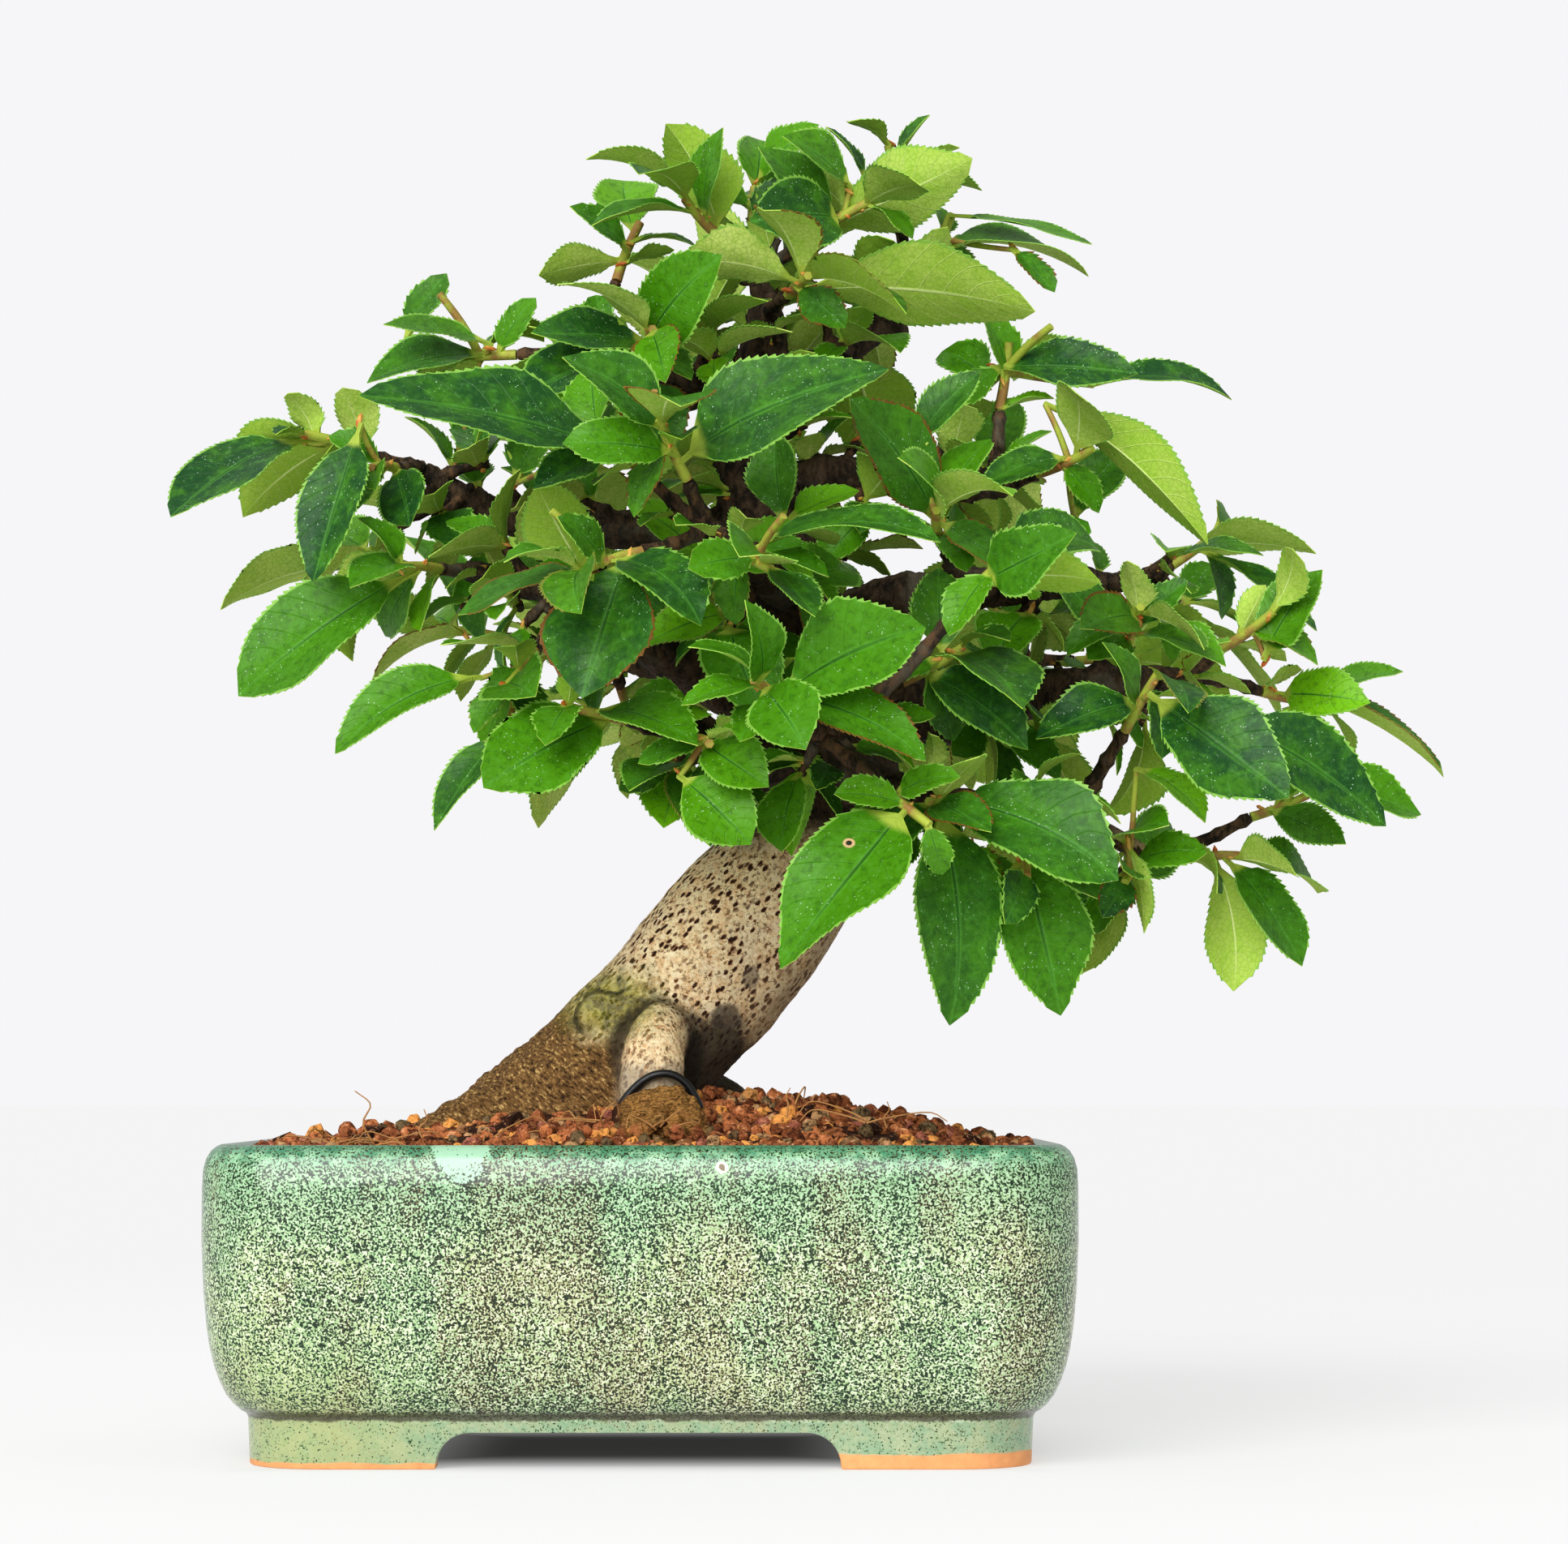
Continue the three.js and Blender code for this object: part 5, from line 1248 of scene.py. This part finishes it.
def growSpur(number, limbs, rng, box):  # a short spur with a few leaves on a limb
    limb = limbs[number % len(limbs)]
    share = rng.uniform(0.3, 1.0)
    root = pointAlong(limb["points"], share)
    out = unit(root - spray["heart"] + [0, 0, 12])
    along = unit(rng.normal(size=3) * 0.75 + out * 0.6)
    end = root + along * (radiusAt(limb["radii"], share) + rng.uniform(*moreLeaves["spurLength"]))
    group = number % len(limbs) % moreLeaves["spurGroups"]
    seed = moreLeaves["spurSeed"] + moreLeaves["spurSeedStep"] * number
    one = {"name": "inner_%02d" % group, "node": end, "along": along, "draw": drawsFrom(seed),
           "owner": cells["firstSpray"] + len(sprays) + len(backSprays) + number, "settled": [], "stems": [],
           "twig": (root, end)}
    for leaf in range(moreLeaves["perSpur"]):
        wish = fillerWish(one, leaf, moreLeaves["spurLeaf"])
        settle(one, end - along * rng.uniform(0, 4), wish, moreLeaves["tries"], box)
    return one


def addLeaves(grown):  # the leaves where the photo has them, the smaller ones, and the spurs along the limbs
    rng = np.random.default_rng(moreLeaves["seed"])
    box = [(np.array(corner) - potMiddle) / mm for corner in (cadLow, cadHigh)]
    margin = moreLeaves["margin"]
    box[0] = np.array([box[0][0] + margin, box[0][1] + margin, moreLeaves["lowest"]])
    box[1] = box[1] - margin
    sprayOf = {one["name"]: one for one in grown}
    for one in grown:
        for leaf in [leaf for leaf in one["settled"] if "filler" in leaf and not isWanted(leaf)]:
            dropLeaf(one, leaf)
    for name, *row in photoLeaves:
        placeAsShown(grown, sprayOf[name], *row, box)
    for one in grown:
        for number, (bearing, length, *rest) in one["lost"]:
            settle(one, stationOf(one, number), shownWish(one, (bearing, length * 0.8, *rest)), 90, box)
        for number in range(moreLeaves["perSpray"]):
            station = one["node"] + one["along"] * rng.uniform(-spray["stemBack"] * 1.1, spray["stemAhead"])
            settle(one, station, fillerWish(one, number + 3, moreLeaves["length"]), moreLeaves["tries"], box)
    crown = {key: values[crownFrom:] for key, values in trunk.items()}
    spurs = [growSpur(number, branches + [crown] * 2, rng, box) for number in range(moreLeaves["spurs"])]
    return [one for one in spurs if one["settled"]]


leafSkin = {
    "thickness": 0.7, "thin": 0.24, "stalkEnd": 0.17, "wave": (0.12, 0.045), "tipCurl": 0.2, "sway": 0.05,
    "uneven": 0.08, "tooth": 0.55, "toothLean": 0.6, "toothFrom": 0.24, "toothTo": 0.975,
    # from what length, rows of faces, and cuts in each row's edge for the teeth
    "masters": [(30, 12, 4), (17, 10, 3), (0, 6, 3)],
    "large": 17, "adult": 22, "youngTone": (0.6, 1.0), "oldTone": (0, 0.3), "bulge": (0.68, 1.08),
    "budSize": (0.7, 1.25), "budShape": (0.62, 0.5, 1.5),
}
leafTones = {  # how bright and how young the large leaves of some sprays are
    "front_low_centre": (0.85, 0.03), "front_low_left": (0.85, 0.2), "right_front_hang": (0.7, 0.02),
    "right_front_low": (0.5, 0), "front_centre": (0.8, 0.05), "left_high": (0.15, 0), "left_shoot": (0.2, 0),
    "left_end": (0.75, 0.04), "left_long": (0.25, 0), "right_big": (0.2, 0), "right_crest": (0.2, 0),
}


def makeLeafMaster(rows, cuts):
    # flat and square: across is -1 to 1 from edge to edge, along is -1 to 1 from stalk to tip
    deselectAll()
    bpy.ops.mesh.primitive_grid_add(x_subdivisions=4, y_subdivisions=rows, size=2)
    blade = bpy.context.object
    setMode("EDIT")
    pickInEdit(blade, lambda v: v.co.y > 0.999)
    bpy.ops.mesh.merge(type="CENTER")
    firstCut = 2 * leafSkin["toothFrom"] - 1.2
    pickInEdit(blade, lambda edge: all(abs(v.co.x) > 0.999 for v in edge.verts)
               and min(v.co.y for v in edge.verts) > firstCut, "EDGE")
    bpy.ops.mesh.subdivide(number_cuts=cuts)
    shape = bmesh.from_edit_mesh(blade.data)
    for side in (-1, 1):
        edge = sorted((v for v in shape.verts if v.co.x * side > 0.999), key=lambda v: v.co.y)
        for vertex in edge[1::2]:
            if leafSkin["toothFrom"] < (vertex.co.y + 1) / 2 < leafSkin["toothTo"]:
                vertex.co.z = 1  # marks the tip of a tooth
    bmesh.update_edit_mesh(blade.data)
    setMode("OBJECT")
    places = placesOf(blade)
    loops = np.empty(len(blade.data.loops), int)
    blade.data.loops.foreach_get("vertex_index", loops)
    flat = np.clip((places[loops, :2] + 1) / 2, 0, 1)
    blade.data.uv_layers.active.data.foreach_set("uv", flat.ravel())
    thick = blade.vertex_groups.new(name="thick")  # the stalk and the rib
    shares = (places[:, 1] + 1) / 2
    for number, (across, share) in enumerate(zip(places[:, 0], shares)):
        rib = 0.5 - 0.2 * share if round(across * 2) == 0 else leafSkin["thin"]
        thick.add([number], 1.0 if share < leafSkin["stalkEnd"] else rib, "REPLACE")
    blade.data.color_attributes.new("tone", "FLOAT_COLOR", "POINT")
    return blade, shares, places[:, 0], places[:, 2]


def layLeaf(master, leaf, tone, rng):
    blade, share, aside, tooth = master
    low, more = leafSkin["wave"]
    ripple = np.sin(share * rng.uniform(8, 14) + rng.uniform(0, 6) + 1.3 * np.sign(aside))
    wave = (low + more * leaf["width"]) * np.abs(aside) ** 1.7 * ripple * (share > 0.2) * (1 - share)
    wave += rng.uniform(-0.4, 1) * leafSkin["tipCurl"] * leaf["length"] * np.maximum(share - 0.55, 0) ** 2
    sway = rng.uniform(-1, 1) * leafSkin["sway"] * leaf["length"] * 4 * share * (1 - share)
    uneven = np.sin(share * rng.uniform(6, 12) + rng.uniform(0, 6) + 2 * np.sign(aside))
    aside = aside * (1 + leafSkin["uneven"] * uneven)
    share = np.minimum(share + tooth * leafSkin["toothLean"] / leaf["length"], 1)
    copy = copyOf(blade, tone)
    copy.data.vertices.foreach_set("co", toFrame(leafPlaces(leaf, share, aside, wave, tooth, sway)).ravel())
    return copy


def makeBud(place, way, size):
    deselectAll()
    bpy.ops.mesh.primitive_ico_sphere_add(subdivisions=1, radius=size * mm, location=toFrame(place),
                                          rotation=Vector(way).to_track_quat("Z", "Y").to_euler())
    bpy.context.object.scale = leafSkin["budShape"]
    return settlePlace(bpy.context.object)


def makeStem(start, end, radii, rng):
    bend = unit(np.cross(end - start, rng.normal(size=3))) * 0.5
    shares = np.linspace(0, 1, 7)
    line = [start + (end - start) * share + bend * math.sin(math.pi * share) for share in shares]
    return makeLimb(line, between(radii, shares), 1)


def dressSpray(name, members, masters, materials, rng, replaced=()):
    leaves = []
    for one in members:
        for leaf in one["settled"]:
            master = next(master for shortest, master in masters if leaf["length"] > shortest)
            youth = rng.uniform(*leafSkin["youngTone" if rng.random() < moreLeaves["young"] else "oldTone"])
            if leaf["length"] > leafSkin["adult"]:
                youth *= 0.3
            leaf.setdefault("bulge", rng.uniform(*leafSkin["bulge"]))
            bright = rng.random()
            if leaf["length"] > leafSkin["large"]:
                bright, youth = leafTones.get(one["name"], (bright, youth))
            leaves.append(layLeaf(master, leaf, (bright, youth, rng.random()), rng))
    top, under, stemSkin, budSkin = materials
    blades = coat(joinPieces(leaves, name), top, under)
    addModifier(blades, "SOLIDIFY", thickness=leafSkin["thickness"] * mm, offset=0, vertex_group="thick",
                material_offset=1, material_offset_rim=1)
    smoothByAngle(blades, 42)
    parts = [blades]
    for one in members:
        parts += [coat(makeStem(*stem, rng), stemSkin) for stem in one["stems"]]
        for leaf in one["settled"][::2]:
            bud = makeBud(leaf["base"] + unit(rng.normal(size=3)) * 0.8, leaf["along"],
                          rng.uniform(*leafSkin["budSize"]))
            parts.append(coat(bud, budSkin))
    asPiece(joinPieces(parts, name), "foliage", *replaced)


leafColours = {
    "dark": (0.014, 0.072, 0.018), "bright": (0.064, 0.22, 0.005), "patch": (0.08, 0.26, 0.008),
    "young": (0.2, 0.5, 0.01), "creaseShade": (0.006, 0.045, 0.006), "sheenPatch": (0.11, 0.33, 0.06),
    "vein": (0.1, 0.27, 0.05), "besideRib": (0.12, 0.36, 0.05), "rib": (0.012, 0.07, 0.008),
    "dust": (0.5, 0.66, 0.48), "under": (0.34, 0.52, 0.07), "underLight": (0.6, 0.73, 0.2),
    "underPatch": (0.33, 0.56, 0.05), "net": (0.2, 0.38, 0.03), "underVein": (0.7, 0.84, 0.3),
    "underRib": (0.8, 0.9, 0.42), "margin": (0.26, 0.5, 0.09), "brownMargin": (0.2, 0.07, 0.02),
    "stalk": (0.4, 0.5, 0.08), "holeRim": (0.6, 0.42, 0.22), "hole": (0.03, 0.03, 0.02),
    "shoot": (0.4, 0.47, 0.06), "shootBrown": (0.36, 0.2, 0.06), "bud": (0.5, 0.12, 0.02),
    "budLight": (0.7, 0.42, 0.1),
    "holeSpot": ((38.9, 115.4), (0.75, 0.6)),
}


def makeLeafSkin(name, upper):
    skin = Skin(name, Roughness=0.36 if upper else 0.75, Specular_IOR_Level=0.2 if upper else 0.08)
    place = skin.place
    across, along, _ = skin.given("TexCoord", "UV").split()
    red, green, blue = skin.tone()
    off = abs(across - 0.5) * 2
    # side veins run forward from the rib, and below a net of fine ones fills between them
    slant = along - off.maths("POWER", 1.3) * 0.17
    vein = abs((slant * 31).maths("SINE")).rise(0.14, 0)
    rib = off.rise(0.05, 0.012) * along.rise(1, 0.3, 0.2, 1)
    patches = place.noise(0.16, 5, 0.65, 0.4)
    if upper:
        sheenAndCreases = place.noise(0.6, 5, 0.7, 0.3)
        colour = red.rise(0.1, 0.95).mix(leafColours["dark"], leafColours["bright"])
        colour = patches.rise(0.4, 0.68, 0, 0.55).mix(colour, leafColours["patch"])
        colour = green.mix(colour, leafColours["young"])
        # patches of painted shade in creases and of painted sheen
        colour = sheenAndCreases.rise(0.5, 0.36, 0, 0.35).mix(colour, leafColours["creaseShade"])
        colour = sheenAndCreases.rise(0.52, 0.66, 0, 0.28).mix(colour, leafColours["sheenPatch"])
        colour = (vein * 0.16).mix(colour, leafColours["vein"])
        colour = (off.rise(0.11, 0.04) * 0.35).mix(colour, leafColours["besideRib"])
        colour = (rib * 0.75).mix(colour, leafColours["rib"])
        # pale flecks: partly real dust, partly painted sheen
        dustAndSheen = place.cells(1.2).rise(0.2, 0.1) * place.noise(0.2).rise(0.46, 0.6)
        colour = (dustAndSheen * 0.7).mix(colour, leafColours["dust"])
    else:
        net = place.cells(0.9, "DISTANCE_TO_EDGE").rise(0.12, 0)
        # the underside is paler yellow-green, and brighter still as painted light for what shines through the
        # leaf and up from the floor
        colour = red.mix(leafColours["under"], leafColours["underLight"])
        colour = patches.rise(0.38, 0.64, 0, 0.5).mix(colour, leafColours["underPatch"])
        colour = (net * 0.45).mix(colour, leafColours["net"])
        colour = (vein * 0.5).mix(colour, leafColours["underVein"])
        colour = (rib * 0.85).mix(colour, leafColours["underRib"])
    # a thin pale margin, brown on some leaves, and a pale stalk
    margin = (off + place.noise(0.8) * 0.03).rise(0.975, 1)
    marginColour = blue.rise(0.88, 0.95).mix(leafColours["margin"], leafColours["brownMargin"])
    colour = (margin * 0.85).mix(colour, marginColour)
    colour = (along.rise(0.19, 0.14) * 0.9).mix(colour, leafColours["stalk"])
    if upper:  # a small old hole with a brown rim in the large leaf that hangs before the trunk
        x, y, z = place.split()
        near = y.rise(-50, -54)
        hole = farFrom(x, z, *leafColours["holeSpot"]) + patches * 0.3
        colour = (hole.rise(1.8, 1.5) * near).mix(colour, leafColours["holeRim"])
        # painted shade: the hole itself is dark, as the shade seen through it
        colour = (hole.rise(1, 0.8) * near).mix(colour, leafColours["hole"])
    ridges = vein.maths("MAXIMUM", rib) * (0.5 if upper else -0.6)
    return skin.finish(colour, place.noise(0.7) * 0.8 - ridges, 0.5, 0.4)


def makeShootSkin():
    skin = Skin("greenShoot", Roughness=0.7)
    colour = skin.place.noise(0.2).rise(0.4, 0.62).mix(leafColours["shoot"], leafColours["shootBrown"])
    return skin.finish(colour, skin.place.noise(2.5), 0.6, 0.2)


def makeBudSkin():
    skin = Skin("budScales", Roughness=0.6)
    return skin.finish(skin.place.noise(0.35).rise(0.4, 0.6).mix(leafColours["bud"], leafColours["budLight"]))


# Putting it together

print("pot")
asPiece(coat(makePot(), makeGlaze()), "pot_glaze", "pot")

print("soil")
coat(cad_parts["soil"], makeSoilMaterial("dampSoilAndGapShade", False))
asPiece(coat(makeGrains(), makeSoilMaterial("clayGranules", True)), "soil_grains")
asPiece(coat(makeCompost(), makeSoilMaterial("compost", False)), "soil_grains")
asPiece(coat(makeDebris(), makePlain("dryRoot", (0.3, 0.15, 0.05), 0.8)), "bark")

print("wood")
asPiece(coat(makeTrunk(), makeBark("bark")), "bark", "trunk")
asPiece(coat(makeRootTie(), makePlain("blackBand", (0.003, 0.003, 0.004), 0.4)), "root_band", "root_tie")
screenSkin = makePlain("blackScreen", (0.02, 0.022, 0.02), 0.6)
for node in ("drain_mesh_left", "drain_mesh_right"):
    coat(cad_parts[node], screenSkin)

print("foliage")
grown = growSprays()
spurs = addLeaves(grown)
twigLines = [(*one["twig"], spray["twigRadii"]) for one in grown]
twigLines += [(*one["twig"], moreLeaves["spurRadii"]) for one in spurs]
asPiece(coat(makeTwigs(twigLines), makeBark("twigBark", True)), "bark")
masters = [(shortest, makeLeafMaster(rows, cuts)) for shortest, rows, cuts in leafSkin["masters"]]
skins = (makeLeafSkin("leafUpper", True), makeLeafSkin("leafUnder", False), makeShootSkin(), makeBudSkin())
leafDraws = np.random.default_rng(19)
for one in grown:
    dressSpray("leaves_" + one["name"], [one], masters, skins, leafDraws, ["spray_" + one["name"]])
for name in sorted({one["name"] for one in spurs}):
    dressSpray(name, [one for one in spurs if one["name"] == name], masters, skins, leafDraws)
for _, master in masters:
    bpy.data.objects.remove(master[0])
print("leaves", sum(len(one["settled"]) for one in grown), sum(len(one["settled"]) for one in spurs))

print("stage")
deselectAll()
bpy.ops.mesh.primitive_plane_add(size=24)
floor = bpy.context.object
floor.name = "floor"
floorSkin = Skin("paleFloor", Roughness=0.8, Specular_IOR_Level=0, Base_Color=(stage["floorColour"],) * 3,
                 Emission_Strength=1)
floorX, floorY, _ = floorSkin.given("TexCoord", "Object").split()
near, far, potShadow = ((stage[name],) * 3 for name in ("floorNear", "floorFar", "floorShadowUnderPot"))
acrossPot, intoPot = [abs((value - float(middle)) * (2 / (size * mm))) for value, middle, size in
                      ((floorX, potMiddle[0], pot["length"]), (floorY, potMiddle[1], pot["depth"]))]
lit = floorY.rise(*stage["floorFade"]).mix(near, far)
# painted shadow: the floor's glow is dimmed under the pot
lit = acrossPot.maths("MAXIMUM", intoPot).rise(1, 0.3).mix(lit, potShadow)
floorSkin.set(Emission_Color=lit)
coat(floor, floorSkin.material)
world = bpy.data.worlds.new("studio")  # the camera sees a brighter wall than the light that comes from it
world.use_nodes = True
air = world.node_tree
sky = air.nodes["Background"]
fill(sky.inputs["Color"], (1, 1, 1))
fill(sky.inputs["Strength"], stage["skyStrength"])
wall = addNode(air, "Background", {"Color": stage["backdrop"]})
seen = Field(addNode(air, "LightPath").outputs["Is Camera Ray"])
fill(air.nodes["World Output"].inputs["Surface"],
     seen.into("MixShader", {1: Field(sky.outputs[0]), 2: Field(wall.outputs[0])}))
bpy.context.scene.world = world
sun = addObject("softLight", bpy.data.lights.new("softLight", "SUN"))
sun.data.energy = stage["sunPower"]
sun.data.angle = math.radians(stage["sunAngle"])
sun.rotation_euler = Vector(stage["sunFrom"]).to_track_quat("Z", "Y").to_euler()
camera = addObject("camera", bpy.data.cameras.new("camera"))
camera.data.lens = stage["focal"]
camera.data.clip_start = 0.05
camera.location = toFrame(stage["cameraAt"])
camera.rotation_euler = (math.radians(90 + stage["pitch"]), 0, 0)
bpy.context.scene.camera = camera
bpy.context.scene.view_settings.view_transform = "Standard"
bpy.context.scene.view_settings.look = "Medium High Contrast"

print("done")
